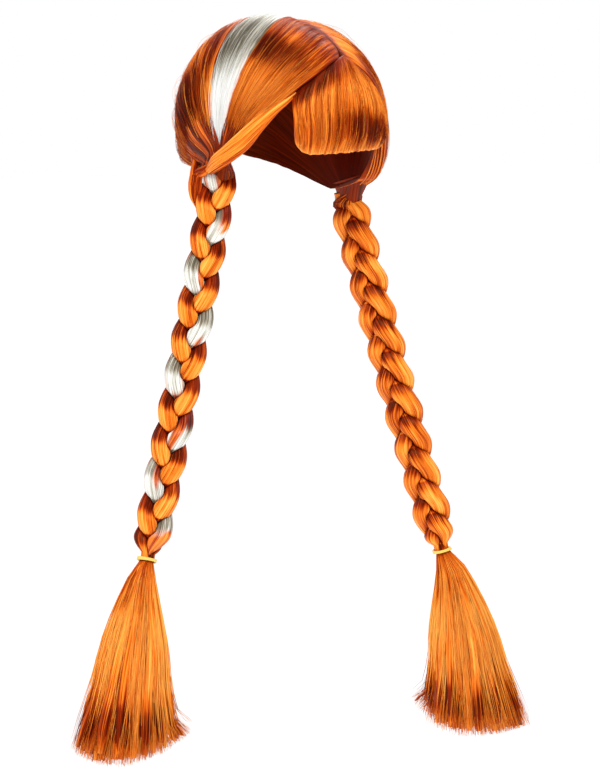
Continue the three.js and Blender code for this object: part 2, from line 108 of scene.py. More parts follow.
# Plaits
PLAIT_LINE_TOP = 140
PLAIT_DROP = 361
PLAIT_UNEVEN = 7
PLAIT_ROOT_OUT = 75
PLAIT_ROOT_BACK = 3
PLAIT_SPREAD = 107
PLAIT_FORWARD = 23
PLAIT_BEND = 1.07
PLAIT_PERIOD = 95
PLAIT_END_SHARE = 0.38
PLAIT_TAPER_LENGTH = 18
PLAIT_NECK_LENGTH = 6
PLAIT_TUCK = 9
STRAND_GAP = 0.12
STRAND_SWING = 7.2
STRAND_RISE = 3.7
STRAND_HALF_WIDTH = 10.6
STRAND_HALF_DEPTH = 8.6
STRAND_GIRTH_RADIUS = 8.5
STRAND_WAY_SHARE = 1.35
PLAIT_HALF_WIDTH = STRAND_SWING + STRAND_HALF_WIDTH
PLAIT_HALF_DEPTH = STRAND_RISE + STRAND_HALF_DEPTH
# How much of the painted highlight and shade on the plait's strands the pale strand takes
PALE_DEPTH = 0.6

# Elastic bands
BAND_THICKNESS = 2.4
BAND_CLEARANCE = 0.5
BAND_HEIGHT = 4
BAND_TURNS = 3
BAND_ROUND_RADIUS = 0.85

# Loose ends
TASSEL_HALF_WIDTH = 48
TASSEL_HALF_DEPTH = 35
TASSEL_FORWARD = 6
TASSEL_LEAN_POWER = 0.62
TASSEL_ARCH_SHARE = 0.075
TASSEL_TILT_SHARE = 0.03
TASSEL_FLICK = 0.2
TASSEL_MAP_LENGTH = 180
TASSEL_LOCK_COUNT = 110
TASSEL_LOCK_THICKNESS = 1.55
TASSEL_LOCK_FLATNESS = 0.62
TASSEL_HAIR_COUNT = 2200
GOLDEN_ANGLE = 2.39996

# Glossy hair
ROUGHNESS = 0.36
ANISOTROPY = 0.85
SPECULAR_LEVEL = 0.28
SPECULAR_TINT = (1.0, 0.42, 0.12, 1)

# Camera: the photograph's view, 600 by 780 pixels
VIEW_AZIMUTH = -40
VIEW_ELEVATION = 4
VIEW_SCALE = 1.06
VIEW_ORIGIN_PIXEL = (282.5, 24.6)
VIEW_FRAME_PIXELS = (600, 780)
VIEW_LENS = 250
VIEW_SENSOR = 36

# Studio, in metres
FLOOR_REACH = 30
FLOOR_LEVEL = -1.3
AIM_LEVEL = -0.3

Look = namedtuple("Look", "material slot")


def direction(bearing, rise):
    """Unit vectors on the head form, by bearing from the face to the wearer's right and by rise."""
    b, r = np.radians(bearing), np.radians(rise)
    return np.stack(np.broadcast_arrays(-np.sin(b) * np.cos(r), -np.cos(b) * np.cos(r), np.sin(r)), -1)


SIDES = {
    "right": {
        "sign": -1,
        "knot_front": direction(76.5, -14.5),
        "knot_back": direction(99, -21),
        "nape_raise": 0.1,
        "fullness": 2.5,
        "gather_thickness": 11,
        "gather_bulge": 3,
        # painted shade on the gather's locks, by tone
        "gather_shade_tone": -0.3,
        "plait_top": 141,
        "plait_girth": 1.0,
        "plait_neck": 0.12,
        "face_turn": -40,
        "pattern": -1,
        "phase": -63,
        "tassel_length": 183,
        "tassel_spread": 29,
    },
    "left": {
        "sign": 1,
        "knot_front": direction(-68, -26),
        "knot_back": direction(-97, -31),
        "nape_raise": 0.22,
        "fullness": -3.2,
        "gather_thickness": 19,
        "gather_bulge": 5,
        "gather_shade_tone": 0.02,
        "plait_top": 168,
        "plait_girth": 1.08,
        "plait_neck": 0.4,
        "face_turn": -65,
        "pattern": 1,
        "phase": -170,
        "tassel_length": 178,
        "tassel_spread": 37,
    },
}


# Small helpers

def smooth(x, low, high):
    t = np.clip((np.asarray(x, float) - low) / (high - low), 0, 1)
    return t * t * (3 - 2 * t)


def blend(start, end, share):
    return start + (end - start) * share


def unit(v):
    return v / np.linalg.norm(v, axis=-1, keepdims=True)


def square_off(v, axis):
    """The part of v that is square to a unit axis, with length 1."""
    return unit(v - axis * np.sum(v * axis, -1, keepdims=True))


def stack(*parts):
    return np.stack(np.broadcast_arrays(*parts), -1)


def round_drop(distance, reach):
    """From 1 at an edge to 0 at its reach, as a quarter circle."""
    into = 1 - np.clip(distance / reach, 0, 1)
    return 1 - np.sqrt(np.clip(1 - into ** 2, 0, 1))


def noise(x, y, seed):
    """Smooth noise from -1 to 1 with about one bump for each unit of x and y."""
    size = 256
    lattice = np.random.default_rng(seed).uniform(-1, 1, (size, size))
    x, y = np.broadcast_arrays(np.asarray(x, float), np.asarray(y, float))
    i, j = np.floor(x).astype(int), np.floor(y).astype(int)

    def corner(right, up):
        return lattice[(i + right) % size, (j + up) % size]

    across = smooth(x - i, 0, 1)
    low = blend(corner(0, 0), corner(1, 0), across)
    high = blend(corner(0, 1), corner(1, 1), across)
    return blend(low, high, smooth(y - j, 0, 1))


def ridges(across, width, seed):
    """Rounded ridges of uneven width with sharp valleys, from 0 in a valley to 1, and a tone for each."""
    count, before = 400, 20
    rng = np.random.default_rng(seed)
    edges = np.cumsum(width * rng.uniform(0.5, 1.5, count)) - before * width
    tones = rng.uniform(-1, 1, count + 1)
    cell = np.clip(np.searchsorted(edges, across), 1, count - 1)
    low, high = edges[cell - 1], edges[cell]
    t = np.clip((across - low) / (high - low), 0, 1)
    return np.sqrt(np.clip(1 - (2 * t - 1) ** 2, 0, 1)), tones[cell]


def combed(across, along, seed, scale=1.0):
    """Combed hair: its height over the mean in millimetres, a tone from 0 to 1 and the depth of valleys."""
    wander = across + 2.5 * noise(across / 26, along / 60, seed) + 0.8 * noise(across / 7, along / 26, seed + 1)
    big, big_tone = ridges(wander, BIG_RIDGE[0], seed + 2)
    middle_place = wander + 0.8 * noise(across / 9, along / 18, seed + 3)
    middle, middle_tone = ridges(middle_place, MIDDLE_RIDGE[0], seed + 4)
    fine, fine_tone = ridges(wander, FINE_RIDGE[0], seed + 5)
    height = BIG_RIDGE[1] * (big - 0.8) + MIDDLE_RIDGE[1] * (middle - 0.8) + FINE_RIDGE[1] * (fine - 0.8)
    streaky = 0.6 * noise(wander / 6.5, along / 45, seed + 6) + 0.4 * noise(wander / 2.1, along / 27, seed + 7)
    tone = 0.49 + 0.22 * streaky + 0.09 * big_tone + 0.1 * middle_tone + 0.08 * fine_tone
    valley = np.clip((1 - big) * 0.5 + (1 - middle) * 0.5 + (1 - fine) * 0.25, 0, 1)
    return scale * height, tone, valley


def combed_round(across, along, seed, scale=1.0):
    """Combed hair round a lock, where the last column meets the first."""
    values = combed(across + 0 * along, along + 0 * across, seed, scale)
    for grid in values:
        grid[:, -1] = grid[:, 0]
    return values


# Meshes

class Body:
    """Collects faces with a strand map (across, along, in millimetres) and three shares for each corner: tone (with
    painted highlights and shade in it), painted shade and paleness.
    """

    def __init__(self):
        self.points = []
        self.count = 0
        self.faces = {3: [], 4: []}
        self.maps = {3: [], 4: []}
        self.shares = {3: [], 4: []}

    def add(self, points, faces, maps, shares):
        self.points.append(np.asarray(points, float).reshape(-1, 3))
        self.count += len(self.points[-1])
        self.again(faces, maps, shares)

    def again(self, faces, maps, shares):
        """More faces on the points that the last add() brought."""
        faces = np.asarray(faces)
        corners = faces.shape[1]
        self.faces[corners].append(faces + self.count - len(self.points[-1]))
        self.maps[corners].append(maps)
        self.shares[corners].append(shares)

    def piece(self, name, look):
        mesh = bpy.data.meshes.new(name)
        points = np.concatenate(self.points) * MM
        mesh.vertices.add(len(points))
        mesh.vertices.foreach_set("co", points.astype(np.float32).ravel())
        used = [corners for corners in (3, 4) if self.faces[corners]]
        faces = [np.concatenate(self.faces[corners]) for corners in used]
        index = np.concatenate([face.ravel() for face in faces])
        sizes = np.concatenate([np.full(len(face), face.shape[1]) for face in faces])
        maps = np.concatenate([np.reshape(part, (-1, 2)) for corners in used for part in self.maps[corners]])
        shares = np.concatenate([np.reshape(part, (-1, 3)) for corners in used for part in self.shares[corners]])
        mesh.loops.add(len(index))
        mesh.loops.foreach_set("vertex_index", index.astype(np.int32))
        mesh.polygons.add(len(sizes))
        mesh.polygons.foreach_set("loop_start", (np.cumsum(sizes) - sizes).astype(np.int32))
        mesh.update(calc_edges=True)
        mesh.polygons.foreach_set("use_smooth", np.ones(len(sizes), bool))
        mesh.uv_layers.new(name="strand").data.foreach_set("uv", maps.astype(np.float32).ravel())
        colour = np.concatenate([shares, np.ones((len(shares), 1))], 1)
        layer = mesh.color_attributes.new("shares", "FLOAT_COLOR", "CORNER")
        layer.data.foreach_set("color", colour.astype(np.float32).ravel())
        mesh.validate()
        mesh.materials.append(look.material)
        piece = bpy.data.objects.new(name, mesh)
        bpy.context.scene.collection.objects.link(piece)
        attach(piece, "root")
        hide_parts(name)


def corners_of(grid):
    """Values at the four corners of each cell of a grid (rows + 1, columns + 1, values)."""
    left, right = grid[..., :-1, :], grid[..., 1:, :]
    upper, lower = slice(None, -1), slice(1, None)
    cells = [left[..., upper, :, :], right[..., upper, :, :], right[..., lower, :, :], left[..., lower, :, :]]
    return np.stack(cells, -2).reshape(-1, 4, grid.shape[-1])


def quads_of(rows, columns, closed):
    row, column = np.meshgrid(np.arange(rows), np.arange(columns), indexing="ij")
    wide = columns if closed else columns + 1
    a, b = row * wide + column, row * wide + (column + 1) % wide
    return np.stack([a, b, b + wide, a + wide], -1).reshape(-1, 4)


def add_tube(body, rings, maps, shares):
    """A closed loft; rings is (rows, sides, 3), maps and shares have one more column than rings."""
    rows, sides = rings.shape[0] - 1, rings.shape[1]
    body.add(rings, quads_of(rows, sides, True), corners_of(maps), corners_of(shares))
    ends = [np.arange(sides)[::-1], rows * sides + np.arange(sides)]
    for end, row in zip(ends, (0, rows)):
        fan = np.stack([np.full(sides - 2, end[0]), end[1:-1], end[2:]], -1)
        body.again(fan, np.broadcast_to(maps[row, 0], (sides - 2, 3, 2)),
                   np.broadcast_to(shares[row, 0], (sides - 2, 3, 3)))


def add_wall(body, outer, inner, maps, shares, shaded_inside_shares):
    """A closed wall between two grids of points (rows + 1, columns + 1, 3), with its own shares inside and painted
    shade on its rims.
    """
    rows, columns = outer.shape[0] - 1, outer.shape[1] - 1
    faces = quads_of(rows, columns, False)
    size = (rows + 1) * (columns + 1)
    body.add([outer, inner], faces, corners_of(maps), corners_of(shares))
    body.again(faces[:, ::-1] + size, corners_of(maps)[:, ::-1], corners_of(shaded_inside_shares)[:, ::-1])
    index = np.arange(size).reshape(rows + 1, columns + 1)
    # Painted shade: the rims take a lower shade share.
    flat_maps, shaded_rim_shares = maps.reshape(-1, 2), shares.reshape(-1, 3) * [1, 0.85, 1]
    for line in (index[:, 0], index[::-1, -1], index[0, ::-1], index[-1]):
        rim = np.stack([line[:-1], line[1:], line[1:] + size, line[:-1] + size], -1)
        body.again(rim, flat_maps[rim % size], shaded_rim_shares[rim % size])


def lengths_along(path):
    """How far each place of a path (…, steps, 3) is from its start."""
    steps = np.diff(path, axis=-2, prepend=path[..., :1, :])
    return np.cumsum(np.linalg.norm(steps, axis=-1), axis=-1)


def add_fibres(body, paths, radii, tones, shade, pale, outward):
    """Thin three-sided hairs; paths is (hairs, steps, 3), outward is each point's side away from the bundle."""
    hairs, steps = paths.shape[:2]
    along = unit(np.gradient(paths, axis=1))
    side = unit(np.cross(along, outward))
    top = np.cross(side, along)
    turns = np.radians([90, 210, 330])[:, None]
    spokes = np.cos(turns) * side[:, :, None] + np.sin(turns) * top[:, :, None]
    rings = paths[:, :, None] + radii[:, :, None, None] * spokes
    first = (np.arange(hairs) * steps * 3)[:, None]
    faces = quads_of(steps - 1, 3, True) + first[..., None]
    length = lengths_along(paths)
    own = np.random.default_rng(hairs).uniform(0, 900, hairs)[:, None]
    maps = np.repeat(stack(own, length)[:, :, None], 4, 2)
    maps[..., 0] += 0.3 * np.arange(4)
    shares = np.repeat(stack(tones + 0 * length, shade, pale)[:, :, None], 4, 2)
    body.add(rings, faces.reshape(-1, 4), corners_of(maps), corners_of(shares))
    ends = np.concatenate([first + [2, 1, 0], first + (steps - 1) * 3 + [0, 1, 2]])
    end_maps = np.concatenate([maps[:, 0, :3], maps[:, -1, :3]])
    end_shares = np.concatenate([shares[:, 0, :3], shares[:, -1, :3]])
    body.again(ends, end_maps, end_shares)


def slim_ends(steps):
    return np.sin(np.pi * np.linspace(0.12, 0.93, steps))[None] ** 0.5


def random_column(rng, low, high, count):
    return rng.uniform(low, high, count)[:, None]


# Places on the head

def on_head(q, lift):
    height = np.where(q[..., 2] < 0, HEAD_NAPE_DEPTH, HEAD_CROWN_HEIGHT + lift)
    return stack(q[..., 0] * (HEAD_HALF_WIDTH + lift),
                 q[..., 1] * (HEAD_HALF_DEPTH + lift),
                 q[..., 2] * height - HEAD_CROWN_HEIGHT)


def arc(start, end, share):
    share = np.asarray(share, float)[..., None]
    angle = np.arccos(np.clip(np.sum(start * end, -1, keepdims=True), -1, 1))
    return (np.sin((1 - share) * angle) * start + np.sin(share * angle) * end) / np.sin(angle)


def middle_line(angle):
    a, turn = np.radians(angle), math.radians(MIDDLE_TURN)
    return stack(-math.sin(turn) * np.cos(a), -math.cos(turn) * np.cos(a), np.sin(a))


def hair_path(side, root_angle, knot_share, share):
    """The way of a hair from its root on the middle line to the gather."""
    root_angle, knot_share, share = np.broadcast_arrays(root_angle, knot_share, share)
    knot = arc(side["knot_front"], side["knot_back"], knot_share)
    path = arc(middle_line(root_angle), knot, share)
    rear = (root_angle - HAIRLINE_ANGLE) / (NAPE_ANGLE - HAIRLINE_ANGLE)
    swell = np.sin(np.pi * share)
    path[..., 1] -= FORWARD_BOW * (1 - rear) * swell
    path[..., 2] += side["nape_raise"] * rear * swell
    return unit(path)


def swept_thickness(side, share):
    rise = (HAIR_THICKNESS - PARTING_THICKNESS) * np.sqrt(smooth(share, -0.02, PARTING_SHARE))
    fullness = side["fullness"] * np.sin(np.pi * np.clip(share, 0, 1) ** FULLNESS_SKEW)
    to_gather = (side["gather_thickness"] - HAIR_THICKNESS) * smooth(share, GATHER_SHARE, 1)
    return PARTING_THICKNESS + rise + fullness + to_gather


# Painted highlights and painted shade: brighter and darker patches added to the hair's tone
# Rows: place and reach along the hair's way, place and reach across it, tone added

SHINE = {
    "front_sweep": [
        (0.12, 0.1, 0.4, 0.6, -0.1),
        (0.14, 0.12, 0.0, 0.14, -0.24),
        (0.4, 0.1, 0.97, 0.42, -0.5),
        (0.28, 0.06, 0.6, 0.12, 0.24),
        (0.36, 0.05, 0.3, 0.22, -0.2),
        (0.65, 0.14, 0.62, 0.55, 0.24),
        (0.95, 0.08, 0.8, 0.4, -0.4),
        (0.8, 0.3, 0.06, 0.12, 0.14),
    ],
    "streak_lock": [
        (0.04, 0.12, 0.5, 3.0, 0.3),
        (0.34, 0.17, 0.3, 0.7, -0.34),
        (0.5, 0.18, 0.95, 0.4, -0.26),
        (0.78, 0.17, 0.5, 3.0, 0.36),
        (1.0, 0.05, 0.5, 3.0, -0.1),
    ],
    "crown_right": [
        (0.38, 0.2, 0.05, 0.07, -0.4),
        (0.77, 0.13, 0.02, 0.06, 0.32),
        (0.66, 0.2, 0.38, 0.24, -0.62),
        (0.36, 0.1, 0.36, 0.13, 0.1),
        (0.83, 0.03, 0.22, 0.12, 0.3),
        (0.87, 0.06, 0.6, 0.22, -0.28),
        (0.45, 0.25, 0.9, 0.15, -0.1),
    ],
    "crown_left": [
        (0.3, 0.1, 0.08, 0.1, -0.3),
        (0.12, 0.08, 0.12, 0.2, 0.28),
        (0.6, 0.12, 0.25, 0.3, 0.1),
        (0.4, 0.12, 0.55, 0.2, -0.25),
        (0.35, 0.2, 0.8, 0.2, 0.1),
        (0.85, 0.12, 0.1, 0.4, -0.15),
    ],
    "fringe": [
        (0.12, 0.2, 0.12, 0.26, -0.46),
        (0.42, 0.2, 0.4, 0.7, 0.12),
        (0.82, 0.12, 0.74, 0.4, -0.56),
        (0.74, 0.1, 0.46, 0.07, -0.26),
        (1.0, 0.07, 0.5, 2.0, 0.28),
        (0.15, 0.1, 0.7, 0.3, -0.1),
    ],
}


def shine(rows, u, v, across, seed):
    """The painted highlight and painted shade that the rows add to the tone, with streaky ends of the patches."""
    u = u + 0.035 * noise(across / 1.3, 0, seed) + 0.03 * noise(across / 5, 0, seed + 1)
    total = 0 * u * v
    for along, along_reach, beside, beside_reach, tone in rows:
        total = total + tone * np.exp(-((u - along) / along_reach) ** 4 - ((v - beside) / beside_reach) ** 2)
    return total


def hair_tones(rng, stray, added):
    """Tones of single hairs with the painted highlight and shade added; the stray ones take little of it and keep
    light over the painted dark patches.
    """
    follow = np.where(stray, 0.2, 1.0)
    return np.clip(rng.uniform(0.3, 0.75, stray.shape) + 0.1 * stray + follow * added, 0, 1)


# Hair on the head

def section_surface(name, side, roots, knots, columns, rows, seed, pale):
    """Outer and inner points of a section, its map and its shares outside and inside; the inside is painted dark as
    shade.
    """
    u = np.linspace(0, 1, rows + 1)[:, None] ** 0.9
    v = np.linspace(0, 1, columns + 1)[None, :]
    span = math.radians(abs(roots[1] - roots[0])) * SWEPT_RADIUS
    ragged = 1.1 / span * noise(u * 7, 0, seed + 40) + 0.6 / span * noise(u * 23, 0, seed + 41)
    free = smooth(u, 0.05, 0.2) * (1 - smooth(u, 0.85, 1))
    v_placed = v + ragged * ((1 - v) ** 12 - v ** 12) * free
    q = hair_path(side, blend(*roots, v_placed), blend(*knots, v_placed), u)
    across, along = v * span, u * SWEPT_LENGTH
    height, tone, valley = combed(across + 0 * along, along + 0 * across, seed)
    calm = smooth(u, 0, 0.12) * (1 - 0.55 * smooth(u, 0.7, 1))
    edge = round_drop(np.minimum(v, 1 - v) * span, EDGE_REACH)
    lift = swept_thickness(side, u) + calm * height
    lift = lift - EDGE_ROUNDING * edge * (1 - 0.5 * smooth(u, 0.8, 1))
    if name == "front_sweep":
        lift = lift - EDGE_SLOPE * (1 - smooth(v * span, 0, EDGE_SLOPE_REACH)) * (1 - smooth(u, 0.4, 0.55))
    root_shade = 0.85 * (1 - smooth(u, 0.015, 0.065)) + 0.2 * (1 - smooth(u, 0, 0.13))
    shade = np.clip(1 - 0.8 * valley * calm - root_shade - 0.25 * edge, 0, 1)
    tone = np.clip(tone + shine(SHINE[name], u, v, across, seed), 0, 1)
    maps = stack(across + seed * 37, along)
    # The inside shares are painted shade: low tone and low shade.
    return (on_head(q, lift), on_head(q, np.zeros_like(lift)), maps,
            stack(tone, shade, pale), stack(0.3 * tone, 0.4 + 0 * shade, pale))


def swept_section(name, side_name, roots, knots, columns, rows, hairs, seed, look, pale=0.0):
    """Hair combed from the middle line, by the roots' angles on it, to places between the knots."""
    side = SIDES[side_name]
    surface = section_surface(name, side, roots, knots, columns, rows, seed, pale)
    if side["sign"] > 0:
        surface = [grid[:, ::-1] for grid in surface]
    body = Body()
    add_wall(body, *surface)
    swept_hairs(body, name, side, roots, knots, hairs, seed, pale)
    body.piece(name, look)


def swept_hairs(body, name, side, roots, knots, hairs, seed, pale):
    """Single hairs that lie just over a swept section."""
    rng = np.random.default_rng(seed + 500)
    steps = 12
    start = random_column(rng, 0.065, 0.6, hairs)
    end = np.minimum(start + random_column(rng, 0.3, 0.75, hairs), 0.98)
    share = blend(start, end, np.linspace(0, 1, steps)[None])
    v = random_column(rng, 0.02, 0.98, hairs)
    stray = (rng.random(hairs) < STRAY_SHARE)[:, None]
    aside = rng.normal(0, 0.012, hairs)[:, None] * (1 + STRAY_DRIFT * stray)
    drift = 0.02 * noise(share * 3, v * 90, seed + 7) + aside * (share - start)
    v = np.clip(v + drift, 0.005, 0.995)
    q = hair_path(side, blend(*roots, v), blend(*knots, v), share)
    lift = swept_thickness(side, share) + 0.75 + 0.5 * noise(share * 5, v * 70, seed + 8)
    bow = np.sin(np.pi * (share - start) / (end - start))
    lift += rng.exponential(0.5, hairs)[:, None] * (1 + 2 * stray) * bow
    radii = random_column(rng, 0.08, 0.2, hairs) * slim_ends(steps)
    tones = hair_tones(rng, stray, shine(SHINE[name], share, v, FRINGE_LENGTH * v, seed))
    add_fibres(body, on_head(q, lift), radii, tones, 1.0, pale, unit(q))


def fringe_corner(v):
    """How far the tips rise at the fringe's two rounded corners, in degrees."""
    beside = np.abs(1 - 2 * v)
    start = np.where(v < 0.5, FRINGE_RIGHT_CORNER[0], FRINGE_LEFT_CORNER[0])
    rise = np.where(v < 0.5, FRINGE_RIGHT_CORNER[1], FRINGE_LEFT_CORNER[1])
    return rise * round_drop(1 - beside, 1 - start)


def fringe_root(v, share):
    """Places on the swept hair's front edge: the right one in the fringe's first half, else the left one."""
    right = hair_path(SIDES["right"], HAIRLINE_ANGLE, 0 * v, share)
    left = hair_path(SIDES["left"], HAIRLINE_ANGLE, 0 * v, share)
    return np.where((v < 0.5)[..., None], right, left)


def fringe_way(v, u):
    """The fringe's hairs leave the roots along the swept hair's edge and turn down over the brow."""
    beside = np.abs(1 - 2 * v)
    share = FRINGE_ROOT_SHARE * beside ** FRINGE_ROOT_POWER
    root = fringe_root(v, share)
    edge = unit(fringe_root(v, share + 0.05) - root)
    bearing = blend(FRINGE_RIGHT_BEARING, FRINGE_LEFT_BEARING, v)
    tip_rise = blend(FRINGE_RIGHT_TIP_RISE, FRINGE_LEFT_TIP_RISE, v)
    tip = direction(bearing, tip_rise + fringe_corner(v))
    fan = direction(bearing * FRINGE_FAN_SPREAD, FRINGE_FAN_RISE + 0 * v)
    straight = arc(root, tip, u)
    fanned = unit(arc(arc(root, fan, 0.6 * u), arc(fan, tip, u), u))
    bend = FRINGE_BEND * np.sin(np.pi * u) * (1 - beside ** 3)
    curl = FRINGE_CURL * beside * (1 - beside ** 6) * u * (1 - u) ** 2
    return unit(straight + (fanned - straight) * bend[..., None] + curl[..., None] * edge)


def fringe_thickness(u):
    swell = np.sin(np.pi * np.minimum(0.8 * u, 0.8))
    thickness = FRINGE_ROOT_THICKNESS + (HAIR_THICKNESS - FRINGE_ROOT_THICKNESS) * swell
    return thickness - FRINGE_TIP_THINNING * smooth(u, 0.8, 1.02) ** 1.5


def fringe(columns, rows, hairs, seed, look):
    v, u = np.meshgrid(np.linspace(0, 1, columns + 1), np.linspace(0, 1, rows + 1))
    across, along = v * FRINGE_WIDTH, u * FRINGE_LENGTH
    uneven = 0.5 * (1 + noise(across / 2.6, 0, seed + 9))
    q = fringe_way(v, u * (1 - FRINGE_RAGGED_SHARE * smooth(u, 0.3, 1) * uneven))
    height, tone, valley = combed(across, along, seed, 0.6)
    edge = round_drop(np.minimum(v, 1 - v) * FRINGE_WIDTH, FRINGE_EDGE_REACH)
    calm = smooth(u, 0, 0.1)
    inner_lift = 0.3 + 2.2 * smooth(u, 0.9, 1)
    lift = fringe_thickness(u) + calm * height - FRINGE_ROUNDING * edge * smooth(u, 0.05, 0.3)
    lift = np.maximum(lift, inner_lift + 0.4)
    shade = np.clip(1 - 0.7 * valley * calm - 0.6 * (1 - smooth(u, 0, 0.16)), 0, 1)
    tone = np.clip(tone + shine(SHINE["fringe"], u, v, across, seed), 0, 1)
    # The inside is painted dark as shade, as on the swept sections.
    surface = (on_head(q, lift), on_head(q, inner_lift), stack(across + seed * 37, along),
               stack(tone, shade, 0.0), stack(0.3 * tone, 0.4, 0.0))
    body = Body()
    add_wall(body, *[grid[:, ::-1] for grid in surface])
    fringe_hairs(body, hairs, seed)
    body.piece("fringe", look)


def fringe_hairs(body, hairs, seed):
    rng = np.random.default_rng(seed + 500)
    steps = 12
    start = random_column(rng, 0.02, 0.4, hairs)
    share = blend(start, 0.98, np.linspace(0, 1, steps)[None])
    v = random_column(rng, 0.02, 0.98, hairs) + 0.01 * noise(share * 4, start * 90, seed + 11)
    v = np.clip(v, 0.01, 0.99)
    q = fringe_way(v, share)
    lift = fringe_thickness(share) + 0.5 + 0.4 * noise(share * 5, v * 70, seed + 8)
    radii = random_column(rng, 0.08, 0.2, hairs) * slim_ends(steps)
    stray = (rng.random(hairs) < STRAY_SHARE)[:, None]
    tones = hair_tones(rng, stray, shine(SHINE["fringe"], share, v, FRINGE_LENGTH * v, seed))
    add_fibres(body, on_head(q, lift), radii, tones, 1.0, 0.0, unit(q))


# Plaits

def plait_line(side, depth):
    share = np.maximum((depth - PLAIT_LINE_TOP) / PLAIT_DROP, 0)
    return stack(side["sign"] * (PLAIT_ROOT_OUT + PLAIT_SPREAD * share ** PLAIT_BEND),
                 PLAIT_ROOT_BACK - PLAIT_FORWARD * share, -depth)


def level_axes(side):
    """Level directions across the plait's face and out of it."""
    turn = math.radians(side["face_turn"])
    return np.array([math.cos(turn), math.sin(turn), 0.0]), np.array([math.sin(turn), -math.cos(turn), 0.0])


def plait_frame(side, level):
    """The plait's middle at a level, with directions along it, across its face and out of it."""
    level = np.asarray(level, float)
    centre = plait_line(side, level)
    along = unit(plait_line(side, level + 1) - plait_line(side, level - 1))
    level_across, level_out = level_axes(side)
    across = square_off(level_across, along)
    out = np.cross(along, across)
    return centre, along, across, out * np.sign(np.sum(out * level_out, -1, keepdims=True))


def plait_place(side, level, x, y):
    centre, _, across, out = plait_frame(side, level)
    return centre + across * np.asarray(x)[..., None] + out * np.asarray(y)[..., None]


def band_level(side):
    return PLAIT_LINE_TOP + PLAIT_DROP + side["sign"] * PLAIT_UNEVEN


def plait_fullness(side, level):
    """How wide the plait is at a level, as a share of its full width."""
    above = band_level(side) - level
    taper = np.clip((PLAIT_TAPER_LENGTH + PLAIT_NECK_LENGTH - above) / PLAIT_TAPER_LENGTH, 0, 1)
    from_top = smooth(level, side["plait_top"] - PLAIT_TUCK, side["plait_top"] + 12)
    neck = 1 - side["plait_neck"] * (1 - from_top)
    return neck * side["plait_girth"] * (1 - (1 - PLAIT_END_SHARE) * taper * taper)


def strand_centre(side, strand, level):
    a = np.radians(360 * (level - PLAIT_LINE_TOP) / PLAIT_PERIOD + side["phase"] + 120 * strand)
    return np.stack([STRAND_SWING * np.sin(a), side["pattern"] * STRAND_RISE * np.sin(2 * a)], -1)


def strand_reach(side, strand, level, ray):
    """How far a strand reaches along a ray, kept softly off the lines halfway to the other strands."""
    own = strand_centre(side, strand, level)
    reach = 1 / np.hypot(ray[..., 0] / STRAND_HALF_WIDTH, ray[..., 1] / STRAND_HALF_DEPTH)
    for other in {0, 1, 2} - {strand}:
        apart = strand_centre(side, other, level) - own
        length = np.linalg.norm(apart, axis=-1)
        facing = np.sum(ray * apart, -1) / length
        limit = np.where(facing > 0.02, (length - STRAND_GAP) / 2 / np.maximum(facing, 0.02), 1e3)
        reach = (reach ** -5 + limit ** -5) ** -0.2
    return reach


def strand_places(side, strand, level, angle, relief):
    """Places on a strand, the way out of it, and how far out in the plait they lie from 0 to 1."""
    ray = stack(np.cos(angle), np.sin(angle))
    reach = strand_reach(side, strand, level, ray) + relief
    place = strand_centre(side, strand, level) + ray * reach[..., None]
    x, y = place[..., 0], place[..., 1]
    full = plait_fullness(side, level)
    _, _, across, out = plait_frame(side, level)
    outward = unit(across * ray[..., :1] + out * ray[..., 1:])
    return plait_place(side, level, full * x, full * y), outward, np.hypot(x / PLAIT_HALF_WIDTH, y / PLAIT_HALF_DEPTH)


def pass_shine(side, strand, level, streak):
    """Painted shade and highlight on a strand's way over the plait's face: painted shade where it comes up, a painted
    highlight from there on.
    """
    turn = (level - PLAIT_LINE_TOP) / PLAIT_PERIOD + side["phase"] / 360 + strand / 3
    way = (2 * turn) % 1 + 0.07 * streak
    if side["pattern"] < 0:
        return 0.3 * smooth(way, 0.53, 0.66) - 0.32 * (1 - smooth(way, 0.45, 0.6)) - 0.25 * smooth(way, 0.96, 1.05)
    return 0.24 * smooth(way, 0.1, 0.3) - 0.32 * (1 - smooth(way, 0.02, 0.22)) - 0.1 * smooth(way, 0.7, 0.8)


def streaked(level, angle):
    """Where the pale strand shows white: most of it, with orange hair taken in along it."""
    edge = noise(level / 30, angle * 1.2, 71) + 0.45 * noise(level / 60, 4 * angle, 72) + 0.25
    from_band = band_level(SIDES["right"]) - level
    return smooth(edge, -0.1, 0.25) * smooth(from_band, 18, 32)


def plait_strand(side_name, strand, look, pale):
    side, seed = SIDES[side_name], 30 + strand
    rows, around = 300, 32
    top = side["plait_top"] - PLAIT_TUCK
    level = np.linspace(top, band_level(side) - 0.2, rows + 1)[:, None]
    angle = np.linspace(0, 2 * np.pi, around + 1)[None, :]
    girth, along = angle * STRAND_GIRTH_RADIUS, (level - top) * STRAND_WAY_SHARE
    height, tone, valley = combed_round(girth + 3 * seed, along, seed, 0.33)
    rings, _, bound = strand_places(side, strand, level, angle, height)
    shade = smooth(bound, 0.2, 0.8) * (1 - 0.6 * valley)
    streak = noise(girth / 0.9, along / 60, seed + 9) + 0.6 * noise(girth / 4, along / 60, seed + 10)
    streak[:, -1] = streak[:, 0]
    depth = PALE_DEPTH if pale else 1.0
    tone = np.clip(tone + depth * pass_shine(side, strand, level, streak), 0, 1)
    white = streaked(level, angle) if pale else 0.0
    body = Body()
    add_tube(body, rings[:, :-1], stack(girth + seed * 37, along), stack(tone, shade, white))
    strand_hairs(body, side, strand, seed, depth, pale)
    body.piece(f"plait_{side_name}_strand_{strand + 1}", look)


